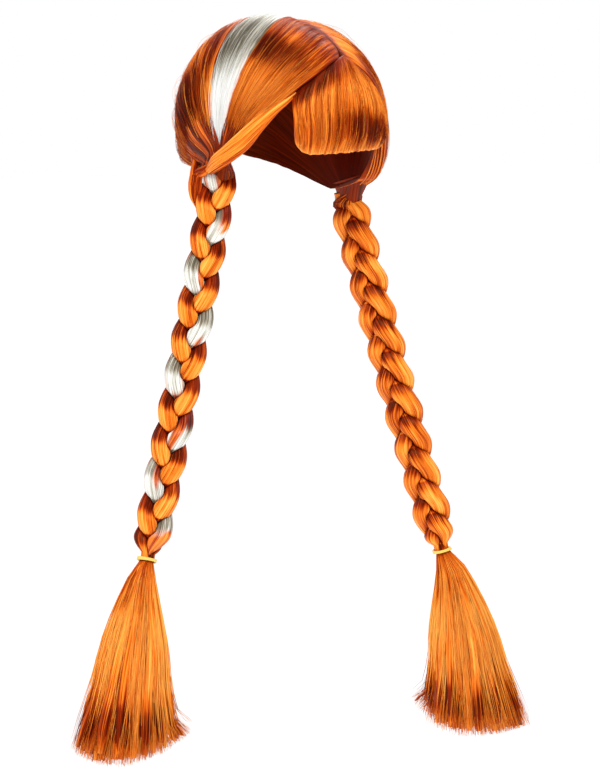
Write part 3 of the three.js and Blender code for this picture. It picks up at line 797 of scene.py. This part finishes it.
def strand_hairs(body, side, strand, seed, depth, pale):
    rng = np.random.default_rng(seed + 500)
    hairs, steps = 120, 16
    start = random_column(rng, side["plait_top"] - 1, band_level(side) - 60, hairs)
    level = start + random_column(rng, 25, 55, hairs) * np.linspace(0, 1, steps)[None]
    angle = random_column(rng, 0, 2 * np.pi, hairs) + 0.12 * noise(level / 14, start, seed + 3)
    relief = 0.25 + 0.2 * noise(level / 9, start + 9, seed + 4)
    paths, outward, bound = strand_places(side, strand, level, angle, relief)
    radii = random_column(rng, 0.1, 0.24, hairs) * slim_ends(steps)
    stray = (rng.random(hairs) < STRAY_SHARE / 2)[:, None]
    tones = hair_tones(rng, stray, depth * pass_shine(side, strand, level, 0))
    white = streaked(level, angle) if pale else 0.0
    add_fibres(body, paths, radii, tones, smooth(bound, 0.25, 0.85), white, outward)


# Slim locks along a few places

def through(points, count):
    """Evenly spread places on a smooth curve through the points."""
    points = np.asarray(points, float)
    padded = np.concatenate([2 * points[:1] - points[1:2], points, 2 * points[-1:] - points[-2:-1]])
    place = np.linspace(0, len(points) - 1 - 1e-6, count)
    i, t = place.astype(int), (place % 1)[:, None]
    a, b, c, d = padded[i], padded[i + 1], padded[i + 2], padded[i + 3]
    return 0.5 * (2 * b + (c - a) * t + (2 * a - 5 * b + 4 * c - d) * t ** 2 + (3 * b - a - 3 * c + d) * t ** 3)


def add_lock(body, points, radii, flatten, twist, rows, around, seed, tone_shift):
    """A round lock through the points, flattened towards the head; its fibres wind by a share each 100 mm."""
    radii = np.asarray(radii)
    path = through(np.concatenate([points, radii[:, None]], 1), rows + 1)
    line, radius = path[:, :3], np.maximum(path[:, 3:], 0.2)
    along = unit(np.gradient(line, axis=0))
    out = square_off(line - [0, 0, -HEAD_CROWN_HEIGHT], along)
    side = np.cross(along, out)
    angle = -np.linspace(0, 2 * np.pi, around + 1)[None, :]
    length = lengths_along(line)[:, None]
    girth = 2 * np.pi * np.max(radii)
    turns = angle / (2 * np.pi) + twist * length / 100
    height, tone, valley = combed(turns % 1 * girth, length + 0 * angle, seed, 0.06 * np.max(radii))
    height[:, -1] = height[:, 0]
    swell = radius + height
    rings = (line[:, None] + side[:, None] * (swell * np.cos(angle))[..., None]
             + out[:, None] * (flatten * swell * np.sin(angle))[..., None])
    shade = np.clip(1 - 0.6 * valley, 0, 1) * (0.35 + 0.65 * smooth(np.sin(angle), -0.9, 0.3))
    shares = stack(np.clip(tone + tone_shift, 0, 1), shade, 0.0)
    add_tube(body, rings[:, :-1], stack(turns * girth, length), shares)


# Gathers

# Rows: where a lock leaves the swept hair in shares of its way, its root's angle, the
# place at the knots where it leaves and where it ends, the angle round the plait's top
# where it ends, its lift off the swept hair in millimetres, its radius and tone.
GATHER_LOCKS = {
    "right": [
        (0.66, 186, 0.97, 0.8, 160, 0.2, 3.0, -0.2),
        (0.66, 178, 0.9, 0.7, 150, 0.4, 3.0, 0.05),
        (0.68, 168, 0.82, 0.6, 140, 0.8, 2.8, 0.14),
        (0.68, 160, 0.75, 0.5, 128, 1.2, 2.8, -0.12),
        (0.7, 150, 0.68, 0.42, 116, 1.6, 2.6, 0.1),
        (0.72, 140, 0.6, 0.36, 104, 1.8, 2.6, -0.24),
        (0.74, 130, 0.52, 0.3, 92, 1.8, 2.4, 0.04),
        (0.76, 120, 0.42, 0.26, 80, 1.4, 2.4, -0.26),
        (0.8, 110, 0.33, 0.24, 66, 1.0, 2.0, -0.3),
        (0.82, 76, 0.19, 0.22, 52, 0.8, 2.0, -0.3),
        (0.8, 66, 0.13, 0.18, 40, 0.6, 2.0, -0.22),
        (0.8, 56, 0.07, 0.12, 28, 0.6, 2.0, -0.1),
    ],
    "left": [
        (0.5, 39, 0.0, 0.02, 150, -13, 2.4, -0.15),
        (0.5, 39, 0.0, 0.02, 146, -10, 2.4, 0.05),
        (0.5, 39, 0.0, 0.02, 142, -7, 2.4, -0.1),
        (0.5, 39, 0.0, 0.02, 138, -4, 2.4, 0.1),
        (0.5, 40, 0.0, 0.04, 134, -1.5, 2.4, -0.05),
        (0.62, 50, 0.06, 0.1, 128, 0.3, 2.6, 0.05),
        (0.62, 65, 0.14, 0.18, 112, 0.4, 2.8, -0.1),
        (0.62, 80, 0.24, 0.28, 95, 0.4, 2.8, 0.05),
        (0.64, 100, 0.36, 0.4, 78, 0.4, 2.8, -0.15),
        (0.64, 120, 0.48, 0.5, 60, 0.4, 3.0, 0.05),
        (0.66, 140, 0.6, 0.6, 42, 0.4, 3.0, -0.1),
        (0.66, 155, 0.74, 0.7, 24, 0.4, 3.0, 0.0),
        (0.66, 170, 0.86, 0.8, 6, 0.4, 3.0, -0.1),
        (0.66, 182, 0.97, 0.9, -12, 0.4, 3.0, 0.05),
    ],
}
GATHER_LOCK_REPEATS = 7
GATHER_LOCK_SLIMNESS = 0.55
GATHER_LOCK_RADII = np.array([0.15, 0.8, 1, 1, 0.85, 0.4])
GATHER_CORE_GIRTH = 95
GATHER_CORE_LENGTH = 26


def gather_core(body, side, columns, rows, seed):
    """A body from between the knots down to the plait's top, round at its foot, painted dark as shade under the
    locks.
    """
    centre, along, _, _ = plait_frame(side, side["plait_top"] + 6.0)
    ahead = square_off(np.array([0.0, -1.0, 0.0]), along)
    outward = np.cross(along, ahead)
    outward *= np.sign(outward[0]) * side["sign"]
    half = columns // 2
    order = np.arange(columns)
    outer = order < half
    place = np.where(outer, order, columns - 1 - order) / (half - 1)
    lift = np.where(outer, side["gather_thickness"] - 3, 1.5)
    top = on_head(arc(side["knot_front"], side["knot_back"], 0.04 + 0.92 * place), lift) + [0, 0, 5]
    turn = (2 * np.pi * (order + 0.5) / columns)[:, None]
    foot = centre + 10.5 * np.cos(turn) * ahead + 8.5 * np.sin(turn) * outward
    rings = blend(top, foot, np.linspace(0, 1, rows + 1)[:, None, None])
    girth = np.linspace(0, GATHER_CORE_GIRTH, columns + 1)[None, :]
    length = np.linspace(0, GATHER_CORE_LENGTH, rows + 1)[:, None]
    height, tone, valley = combed(girth + 0 * length, length + 0 * girth, seed, 0.5)
    rings = rings + unit(rings - rings.mean(1, keepdims=True)) * height[:, :-1, None]
    if side["sign"] < 0:
        rings = rings[:, ::-1]
    add_tube(body, rings, stack(girth, length), stack(0.7 * tone, 0.5 - 0.4 * valley, 0.0))


def gather_lock_points(side, row, spread, rng):
    """Three places on the swept hair, one in the bend below it and two in the plait's top."""
    start_share, root_angle, knot_from, knot_to, foot, lift, _, _ = row
    u = np.array([start_share, 0.5 * (start_share + 0.95), 0.95])
    knot = np.array([knot_from, blend(knot_from, knot_to, 0.4), knot_to]) + 0.04 * spread
    q = hair_path(side, root_angle + 3 * spread, np.maximum(knot, 0), u)
    height = swept_thickness(side, u) + lift + np.array([-2.2, 0, 0.4]) + rng.uniform(-0.5, 0.5)
    head = on_head(q, np.maximum(height, 1.5))
    turn = math.radians(foot + 10 * spread)
    reach = np.array([0.95, 0.45])
    feet = plait_place(side, side["plait_top"] + np.array([-1.0, 13.0]),
                       reach * math.cos(turn) * (PLAIT_HALF_WIDTH - 3),
                       reach * math.sin(turn) * (PLAIT_HALF_DEPTH - 1))
    bend = 0.5 * (head[2:] + feet[:1]) + [side["sign"] * side["gather_bulge"], 0, 0]
    return np.concatenate([head, bend, feet])


def gather(side_name, look):
    """A core painted dark as shade, and slim locks over it that run on from the swept hair into the plait's top."""
    side, seed = SIDES[side_name], 20
    rng = np.random.default_rng(seed)
    body = Body()
    gather_core(body, side, 96, 16, seed)
    for row in GATHER_LOCKS[side_name]:
        radius, tone = row[-2:]
        for _ in range(GATHER_LOCK_REPEATS):
            spread = 1.3 * rng.uniform(-1, 1)
            points = gather_lock_points(side, row, spread, rng)
            size = GATHER_LOCK_SLIMNESS * radius * rng.uniform(0.7, 1.3)
            # Painted shade: the side's gather shade tone darkens the gather's locks, on the right most.
            own_tone = tone + rng.uniform(-0.25, 0.25) + side["gather_shade_tone"]
            add_lock(body, points, size * GATHER_LOCK_RADII, 0.6, 0.3, 20, 8, rng.integers(1000), own_tone)
    body.piece("gather_" + side_name, look)


# Locks laid along listed places on the wearer's right

# Rows: bearing and rise in degrees, lift in shares of the hair's thickness, radius in shares of the lock's
FRONT_LOCK_WAY = [
    (38, 15, 0.5, 0.15),
    (44, 10, 0.8, 0.45),
    (50, 5, 1.0, 0.6),
    (58, -2, 1.2, 0.8),
    (66, -8.5, 1.45, 1.0),
    (73.5, -13.5, 1.8, 0.95),
    (81, -17.5, 1.95, 0.85),
    (89, -21.5, 1.8, 0.5),
]
FRONT_LOCK_RADIUS = 4.9
FRONT_LOCK_PARTS = 5

# Rows: drop below the plait's top in plait periods, places across and out of the plait, radius in shares
LOOP_LOCK_WAY = [
    (-0.12, -0.3, 1.3, 0.5),
    (-0.07, -0.8, 1.0, 0.85),
    (0.02, -1.18, 0.45, 0.95),
    (0.13, -1.17, 0.2, 0.85),
    (0.24, -1.1, 0.0, 0.6),
    (0.33, -0.9, -0.3, 0.15),
]
LOOP_LOCK_RADIUS = 6.2
LOOP_LOCK_PARTS = 8


def front_lock(look):
    """A twisted lock made of slim locks side by side, made bright by a painted highlight in its tone."""
    body = Body()
    rng = np.random.default_rng(91)
    for place in np.linspace(-1, 1, FRONT_LOCK_PARTS):
        points, radii = [], []
        for bearing, rise, lift, radius in FRONT_LOCK_WAY:
            beside = 0.45 * place * radius * FRONT_LOCK_RADIUS
            depth = 3.0 * (1 - place * place)
            points.append(on_head(direction(bearing + beside, rise + beside), lift * HAIR_THICKNESS + depth))
            radii.append(0.5 * radius * FRONT_LOCK_RADIUS)
        # Tone raised by 0.24 as a painted highlight, less on the slim locks at one edge.
        tone = 0.24 - 0.2 * (place < -0.5) + rng.uniform(-0.06, 0.06)
        add_lock(body, points, radii, 0.8, 0.6, 90, 20, rng.integers(1000), tone)
    body.piece("front_lock", look)


def loop_lock(look):
    """Slim locks that leave the gather, turn down beside the plait and go in behind it."""
    side = SIDES["right"]
    body = Body()
    rng = np.random.default_rng(95)
    for place in np.linspace(-1, 1, LOOP_LOCK_PARTS):
        points, radii = [], []
        for drop, x, y, radius in LOOP_LOCK_WAY:
            level = side["plait_top"] + 0.4 + drop * PLAIT_PERIOD
            _, along, _, _ = plait_frame(side, level)
            beside = 0.85 * place * radius * LOOP_LOCK_RADIUS
            turn = smooth(drop, -0.08, 0.06)
            centre = plait_place(side, level, x * PLAIT_HALF_WIDTH + turn * beside, y * PLAIT_HALF_DEPTH)
            points.append(centre + along * (1 - turn) * beside)
            radii.append(0.42 * radius * LOOP_LOCK_RADIUS * rng.uniform(0.85, 1.15))
        if place < -0.2:
            share = np.array([0.74, 0.9])
            q = hair_path(side, 180 + 14 * place, 0.9 - 0.1 * place, share)
            points[:2] = on_head(q, swept_thickness(side, share) - 0.5)
        add_lock(body, points, radii, 0.9, 0.3, 60, 14, rng.integers(1000), rng.uniform(-0.25, 0.15))
    body.piece("loop_lock", look)


# Bands

def band(side_name, look):
    """An elastic band wound round the plait's end."""
    side = SIDES[side_name]
    share = PLAIT_END_SHARE * side["plait_girth"]
    round_it = BAND_THICKNESS / 2 + BAND_CLEARANCE
    reach_x, reach_y = share * PLAIT_HALF_WIDTH + round_it, share * PLAIT_HALF_DEPTH + round_it
    turn = np.linspace(0, 2 * np.pi * BAND_TURNS, 96 * BAND_TURNS + 1)[:, None]
    section = np.linspace(0, 2 * np.pi, 13)[None, :]
    pitch = (BAND_HEIGHT - 2 * BAND_ROUND_RADIUS) / BAND_TURNS
    level = (turn / (2 * np.pi) - BAND_TURNS / 2) * pitch + 0.25 * np.sin(turn * 1.3)
    swell = BAND_ROUND_RADIUS * np.cos(section) + 0.25 * np.sin(turn * 0.9)
    x, y = (reach_x + swell) * np.cos(turn), (reach_y + swell) * np.sin(turn)
    _, along, _, _ = plait_frame(side, band_level(side))
    rings = plait_place(side, band_level(side), x, y)
    rings = rings + along * (level + BAND_ROUND_RADIUS * np.sin(section))[..., None]
    body = Body()
    maps = stack(section * BAND_ROUND_RADIUS, turn * reach_x)
    add_tube(body, rings[:, :-1], maps, stack(0.5 + 0 * section + 0 * turn, 1.0, 0.0))
    body.piece("band_" + side_name, look)


# Loose ends

# Rows: share of the length, half width in shares of the full one
TASSEL_SHAPE = [(0, 0.115), (0.1, 0.27), (0.3, 0.5), (0.5, 0.68), (0.7, 0.77), (0.85, 0.9), (1, 1.03)]


def tassel_width(share):
    drops, widths = zip(*TASSEL_SHAPE)
    return np.interp(share, drops, widths)


def tassel_way(side, r, angle, length, share):
    """Places by reach from the middle, angle round it, the hair's length in shares and the share of it."""
    centre, _, across, out = plait_frame(side, band_level(side) + 0.2)
    level_across, level_out = level_axes(side)
    width = side["plait_girth"] * tassel_width(share)
    aside = r * np.cos(angle)
    level = 1 - TASSEL_ARCH_SHARE * aside ** 2 + TASSEL_TILT_SHARE * side["sign"] * aside
    x = aside * width * TASSEL_HALF_WIDTH
    y = r * np.sin(angle) * width * TASSEL_HALF_DEPTH
    flat = share[..., None]
    path = centre + blend(across, level_across, flat) * x[..., None] + blend(out, level_out, flat) * y[..., None]
    lean = np.array([side["sign"] * side["tassel_spread"], -TASSEL_FORWARD, 0])
    path = path + lean * (share ** TASSEL_LEAN_POWER)[..., None]
    path[..., 2] -= side["tassel_length"] * share * length * level
    return path


def tassel_flick(side, angle, share):
    """The tips at the inner side turn out."""
    return TASSEL_FLICK * smooth(np.cos(angle) * -side["sign"], 0.88, 0.99) * smooth(share, 0.86, 1.0)


def tassel_shine(share, angle, chance):
    """Painted highlight and shade down a loose end: a painted highlight over its middle, painted shade patches at
    some places near the ends.
    """
    share = share + 0.05 * chance
    patch = smooth(noise(angle * 1.3, 0 * share, 5) + 0.3 * chance, -0.15, 0.3)
    middle = 0.26 * np.exp(-((share - 0.5) / 0.26) ** 4)
    low = -0.5 * patch * np.exp(-((share - 0.88) / 0.1) ** 4)
    rise = -0.22 * patch * np.exp(-((share - 0.72) / 0.1) ** 2)
    high = -0.3 * smooth(np.cos(angle), -0.2, -0.7) * np.exp(-((share - 0.16) / 0.08) ** 2)
    return 0.08 + middle + low + rise + high


def tassel_lock(body, side, i, rng, seed):
    """One of the slim locks, laid out by the golden angle."""
    share = np.linspace(0, 1, 23)
    r = 0.9 * math.sqrt((i + 0.5) / TASSEL_LOCK_COUNT)
    angle = i * GOLDEN_ANGLE + rng.uniform(-0.2, 0.2)
    length = 1 - rng.uniform(0, 0.06) - 0.02 * (1 - r)
    wave = rng.uniform(0, 6.28)
    r_way = r + 0.05 * np.sin(share * 5 + wave) * share + smooth(r, 0.6, 0.8) * tassel_flick(side, angle, share)
    line = tassel_way(side, r_way, angle + 0.12 * np.sin(share * 4 + wave), length, share)
    width = tassel_width(share) * TASSEL_HALF_WIDTH
    fat = TASSEL_LOCK_THICKNESS / math.sqrt(TASSEL_LOCK_COUNT) * width * (1 - 0.6 * smooth(share, 0.88, 1.0))
    fat = fat[:, None]
    turn = np.linspace(0, 2 * np.pi, 9)[None, :]
    girth, along = turn * 4, share[:, None] * TASSEL_MAP_LENGTH
    ridge, tone, valley = combed(girth + 31 * i, along + 0 * girth, seed + 3, 0.25)
    ridge[:, -1] = ridge[:, 0]
    swell = fat + ridge * np.minimum(fat / 4, 1)
    facing = angle + rng.uniform(-0.3, 0.3)
    c, s = np.cos(turn), np.sin(turn)
    x = swell * (c * math.cos(facing) * TASSEL_LOCK_FLATNESS - s * math.sin(facing))
    y = swell * (c * math.sin(facing) * TASSEL_LOCK_FLATNESS + s * math.cos(facing))
    y = y * TASSEL_HALF_DEPTH / TASSEL_HALF_WIDTH * 1.15
    _, _, across, out = plait_frame(side, band_level(side) + 0.2)
    rings = line[:, None] + across * x[..., None] + out * y[..., None]
    # Painted shade: darker on the inner locks, on each lock's side facing in, in valleys and near the band.
    outer = smooth(r, 0.1, 0.75) * (0.45 + 0.55 * c)
    band_shade = 0.15 * (1 - smooth(share, 0, 0.06))[:, None]
    shade = np.clip(0.5 + 0.6 * outer - 0.25 * valley - band_shade, 0, 1)
    own_tone = rng.uniform(-0.1, 0.1) + tassel_shine(share, angle, rng.uniform(-1, 1))[:, None]
    shares = stack(np.clip(tone + own_tone, 0, 1), shade, 0.0)
    add_tube(body, rings[:, :-1], stack(girth + 53 * i, along), shares)


def tassel_hairs(body, side, rng):
    hairs, steps = TASSEL_HAIR_COUNT, 10
    r = 0.98 * np.sqrt(random_column(rng, 0.1, 1.06, hairs))
    angle = random_column(rng, 0, 2 * np.pi, hairs)
    length = 1.01 - 0.08 * random_column(rng, 0, 1, hairs) ** 2
    share = np.linspace(0, 1, steps)[None]
    wave = random_column(rng, 0, 6.28, hairs)
    r_way = r + 0.05 * np.sin(share * 5 + wave) * share + rng.normal(0, 0.02, hairs)[:, None] * share ** 3
    r_way = r_way + tassel_flick(side, angle, share)
    hair_angle = angle + 0.1 * np.sin(share * 4 + wave) + rng.normal(0, 0.05, hairs)[:, None] * share ** 2
    paths = tassel_way(side, r_way, hair_angle, length, share + 0 * r)
    _, _, across, out = plait_frame(side, band_level(side) + 0.2)
    outward = unit(across * np.cos(hair_angle)[..., None] + out * np.sin(hair_angle)[..., None])
    radii = random_column(rng, 0.18, 0.42, hairs) * (1 - 0.6 * smooth(share, 0.75, 1))
    shade = 0.55 + 0.45 * smooth(r, 0.6, 1.0) * smooth(share, 0, 0.15)
    tones = random_column(rng, 0.46, 0.8, hairs) + tassel_shine(share, hair_angle, 0.6 * np.sin(wave))
    add_fibres(body, paths, radii, np.clip(tones, 0, 1), shade, 0.0, outward)


def tassel(side_name, look):
    side, seed = SIDES[side_name], 50
    rng = np.random.default_rng(seed)
    body = Body()
    for i in range(TASSEL_LOCK_COUNT):
        tassel_lock(body, side, i, rng, seed)
    tassel_hairs(body, side, rng)
    body.piece("tassel_" + side_name, look)


# Materials

def new_material(name):
    material = bpy.data.materials.new(name)
    material.use_nodes = True
    return material, material.node_tree, material.node_tree.nodes["Principled BSDF"]


def add_math(tree, operation, a, b, clamp=False):
    made = tree.nodes.new("ShaderNodeMath")
    made.operation, made.use_clamp = operation, clamp
    for socket, value in zip(made.inputs, (a, b)):
        if isinstance(value, (int, float)):
            socket.default_value = value
        else:
            tree.links.new(value, socket)
    return made.outputs[0]


def add_streaks(tree, across, along):
    """Noise drawn out along the strands, by bumps for each millimetre across and along."""
    strand = tree.nodes.new("ShaderNodeUVMap")
    strand.uv_map = "strand"
    mapping = tree.nodes.new("ShaderNodeMapping")
    mapping.inputs["Scale"].default_value = (across, along, 1)
    tree.links.new(strand.outputs[0], mapping.inputs["Vector"])
    texture = tree.nodes.new("ShaderNodeTexNoise")
    texture.inputs["Scale"].default_value = 1
    texture.inputs["Detail"].default_value = 2
    texture.inputs["Roughness"].default_value = 0.6
    tree.links.new(mapping.outputs[0], texture.inputs["Vector"])
    return texture.outputs["Fac"]


def add_ramp(tree, value, stops):
    made = tree.nodes.new("ShaderNodeValToRGB")
    elements = made.color_ramp.elements
    while len(elements) < len(stops):
        elements.new(0.5)
    for element, (position, colour) in zip(elements, stops):
        element.position = position
        element.color = (*colour, 1)
    tree.links.new(value, made.inputs[0])
    return made.outputs[0]


def add_bump(tree, shader, height, strength, distance):
    bump = tree.nodes.new("ShaderNodeBump")
    bump.inputs["Strength"].default_value = strength
    bump.inputs["Distance"].default_value = distance
    tree.links.new(height, bump.inputs["Height"])
    tree.links.new(bump.outputs[0], shader.inputs["Normal"])


ORANGE_STOPS = [
    (0.0, (0.05, 0.002, 0.0004)),
    (0.2, (0.20, 0.010, 0.0006)),
    (0.32, (0.36, 0.03, 0.0015)),
    (0.46, (0.60, 0.10, 0.006)),
    (0.68, (0.92, 0.24, 0.018)),
    (0.95, (1.0, 0.46, 0.085)),
]
WHITE_STOPS = [
    (0.0, (0.06, 0.05, 0.03)),
    (0.25, (0.27, 0.235, 0.165)),
    (0.5, (0.68, 0.67, 0.60)),
    (0.72, (0.95, 0.95, 0.93)),
    (1.0, (0.97, 0.97, 0.96)),
]


def hair_material(name, specular_tint):
    """Glossy hair: fine streaks along the strand map, painted shade in valleys and at roots from the shade share,
    pale where the shares say.
    """
    material, tree, shader = new_material(name)
    shares = tree.nodes.new("ShaderNodeAttribute")
    shares.attribute_name = "shares"
    split = tree.nodes.new("ShaderNodeSeparateColor")
    tree.links.new(shares.outputs["Color"], split.inputs[0])
    light, shade, pale = split.outputs
    fine, broad = add_streaks(tree, 1.5, 0.015), add_streaks(tree, 0.45, 0.012)
    for streak, weight in ((fine, 1.6), (broad, 1.1)):
        light = add_math(tree, "ADD", light, add_math(tree, "MULTIPLY", add_math(tree, "SUBTRACT", streak, 0.5), weight))
    # Painted shade: the shade share darkens the tone before the colour ramps.
    depth = add_math(tree, "ADD", add_math(tree, "MULTIPLY", shade, 0.88), 0.12)
    light = add_math(tree, "MULTIPLY", light, depth, clamp=True)
    mix = tree.nodes.new("ShaderNodeMix")
    mix.data_type = "RGBA"
    tree.links.new(pale, mix.inputs["Factor"])
    tree.links.new(add_ramp(tree, light, ORANGE_STOPS), mix.inputs[6])
    tree.links.new(add_ramp(tree, light, WHITE_STOPS), mix.inputs[7])
    tree.links.new(mix.outputs[2], shader.inputs["Base Color"])
    add_bump(tree, shader, fine, 0.35, 0.0004)
    tangent = tree.nodes.new("ShaderNodeTangent")
    tangent.direction_type, tangent.uv_map = "UV_MAP", "strand"
    tree.links.new(tangent.outputs[0], shader.inputs["Tangent"])
    shader.inputs["Roughness"].default_value = ROUGHNESS
    shader.inputs["Anisotropic"].default_value = ANISOTROPY
    shader.inputs["Specular IOR Level"].default_value = SPECULAR_LEVEL
    shader.inputs["Specular Tint"].default_value = specular_tint
    return material


def elastic_material():
    """Yellow covered elastic with a fine grain."""
    material, tree, shader = new_material("elastic")
    grain = tree.nodes.new("ShaderNodeTexNoise")
    grain.inputs["Scale"].default_value = 900
    yellow = add_ramp(tree, grain.outputs["Fac"], [(0.0, (0.78, 0.42, 0.05)), (1.0, (0.98, 0.72, 0.16))])
    tree.links.new(yellow, shader.inputs["Base Color"])
    add_bump(tree, shader, grain.outputs["Fac"], 0.4, 0.0003)
    shader.inputs["Roughness"].default_value = 0.55
    return material


# Studio

def camera():
    """A long lens that puts the origin on its pixel at the named scale."""
    a, e = math.radians(VIEW_AZIMUTH), math.radians(VIEW_ELEVATION)
    right = Vector((math.cos(a), math.sin(a), 0))
    up = Vector((-math.sin(a) * math.sin(e), math.cos(a) * math.sin(e), math.cos(e)))
    back = right.cross(up)
    width, height = VIEW_FRAME_PIXELS
    aside = (width / 2 - VIEW_ORIGIN_PIXEL[0]) / VIEW_SCALE * MM
    below = (height / 2 - VIEW_ORIGIN_PIXEL[1]) / VIEW_SCALE * MM
    distance = height / VIEW_SCALE * MM * VIEW_LENS / VIEW_SENSOR
    data = bpy.data.cameras.new("camera")
    data.lens = VIEW_LENS
    data.sensor_width = VIEW_SENSOR
    data.clip_end = 100
    eye = bpy.data.objects.new("camera", data)
    turned = Matrix((right, up, back)).transposed().to_4x4()
    eye.matrix_world = Matrix.Translation(right * aside - up * below + back * distance) @ turned
    bpy.context.scene.collection.objects.link(eye)
    bpy.context.scene.camera = eye


def softbox(name, azimuth, elevation, distance, size, watts):
    data = bpy.data.lights.new(name, "AREA")
    data.shape = "RECTANGLE"
    data.size, data.size_y = size
    data.energy = watts
    lamp = bpy.data.objects.new(name, data)
    a, e = math.radians(azimuth), math.radians(elevation)
    aim = Vector((0, 0, AIM_LEVEL))
    lamp.location = aim + distance * Vector((math.sin(a) * math.cos(e), -math.cos(a) * math.cos(e), math.sin(e)))
    lamp.rotation_euler = (aim - lamp.location).to_track_quat("-Z", "Y").to_euler()
    bpy.context.scene.collection.objects.link(lamp)


def floor():
    mesh = bpy.data.meshes.new("floor")
    corners = [(-1, -1), (1, -1), (1, 1), (-1, 1)]
    mesh.from_pydata([(x * FLOOR_REACH, y * FLOOR_REACH, FLOOR_LEVEL) for x, y in corners], [], [(0, 1, 2, 3)])
    ground = bpy.data.objects.new("floor", mesh)
    material, _, shader = new_material("floor")
    shader.inputs["Base Color"].default_value = (0.9, 0.9, 0.9, 1)
    shader.inputs["Emission Color"].default_value = (1, 1, 1, 1)
    shader.inputs["Emission Strength"].default_value = 0.5
    mesh.materials.append(material)
    bpy.context.scene.collection.objects.link(ground)


def backdrop():
    """White to the camera, a little darker as a light."""
    world = bpy.data.worlds.new("studio")
    world.use_nodes = True
    tree = world.node_tree
    background = tree.nodes["Background"]
    background.inputs["Color"].default_value = (1, 1, 1, 1)
    path = tree.nodes.new("ShaderNodeLightPath")
    level = tree.nodes.new("ShaderNodeMapRange")
    level.inputs["To Min"].default_value = 0.62
    level.inputs["To Max"].default_value = 1.0
    tree.links.new(path.outputs["Is Camera Ray"], level.inputs["Value"])
    tree.links.new(level.outputs["Result"], background.inputs["Strength"])
    bpy.context.scene.world = world


def studio():
    camera()
    floor()
    backdrop()
    bpy.context.scene.view_settings.view_transform = "Standard"
    softbox("key", -30, 40, 2.6, (1.1, 0.8), 47)
    softbox("side", -110, 20, 3.0, (0.6, 1.6), 17)
    softbox("top", 130, 60, 2.2, (1.4, 0.8), 20)


# The whole wig

def build():
    hair = Look(hair_material("hair", SPECULAR_TINT), "hair")
    pale_hair = Look(hair_material("pale_hair", (1, 1, 1, 1)), "pale_hair")
    elastic = Look(elastic_material(), "elastic")
    swept_section("front_sweep", "right", (HAIRLINE_ANGLE, STREAK_FRONT_ANGLE), (0, STREAK_FRONT_KNOT),
                  110, 60, 380, 11, hair)
    swept_section("streak_lock", "right", (STREAK_FRONT_ANGLE, STREAK_BACK_ANGLE),
                  (STREAK_FRONT_KNOT, STREAK_BACK_KNOT), 60, 60, 160, 12, pale_hair, 1.0)
    swept_section("crown_right", "right", (STREAK_BACK_ANGLE, NAPE_ANGLE), (STREAK_BACK_KNOT, 1),
                  180, 60, 650, 13, hair)
    swept_section("crown_left", "left", (HAIRLINE_ANGLE, NAPE_ANGLE), (0, 1), 210, 60, 600, 14, hair)
    fringe(190, 50, 500, 15, hair)
    front_lock(hair)
    loop_lock(hair)
    for side_name in SIDES:
        gather(side_name, hair)
        for strand in range(3):
            pale = side_name == "right" and strand == 0
            plait_strand(side_name, strand, pale_hair if pale else hair, pale)
        band(side_name, elastic)
        tassel(side_name, hair)


studio()
build()
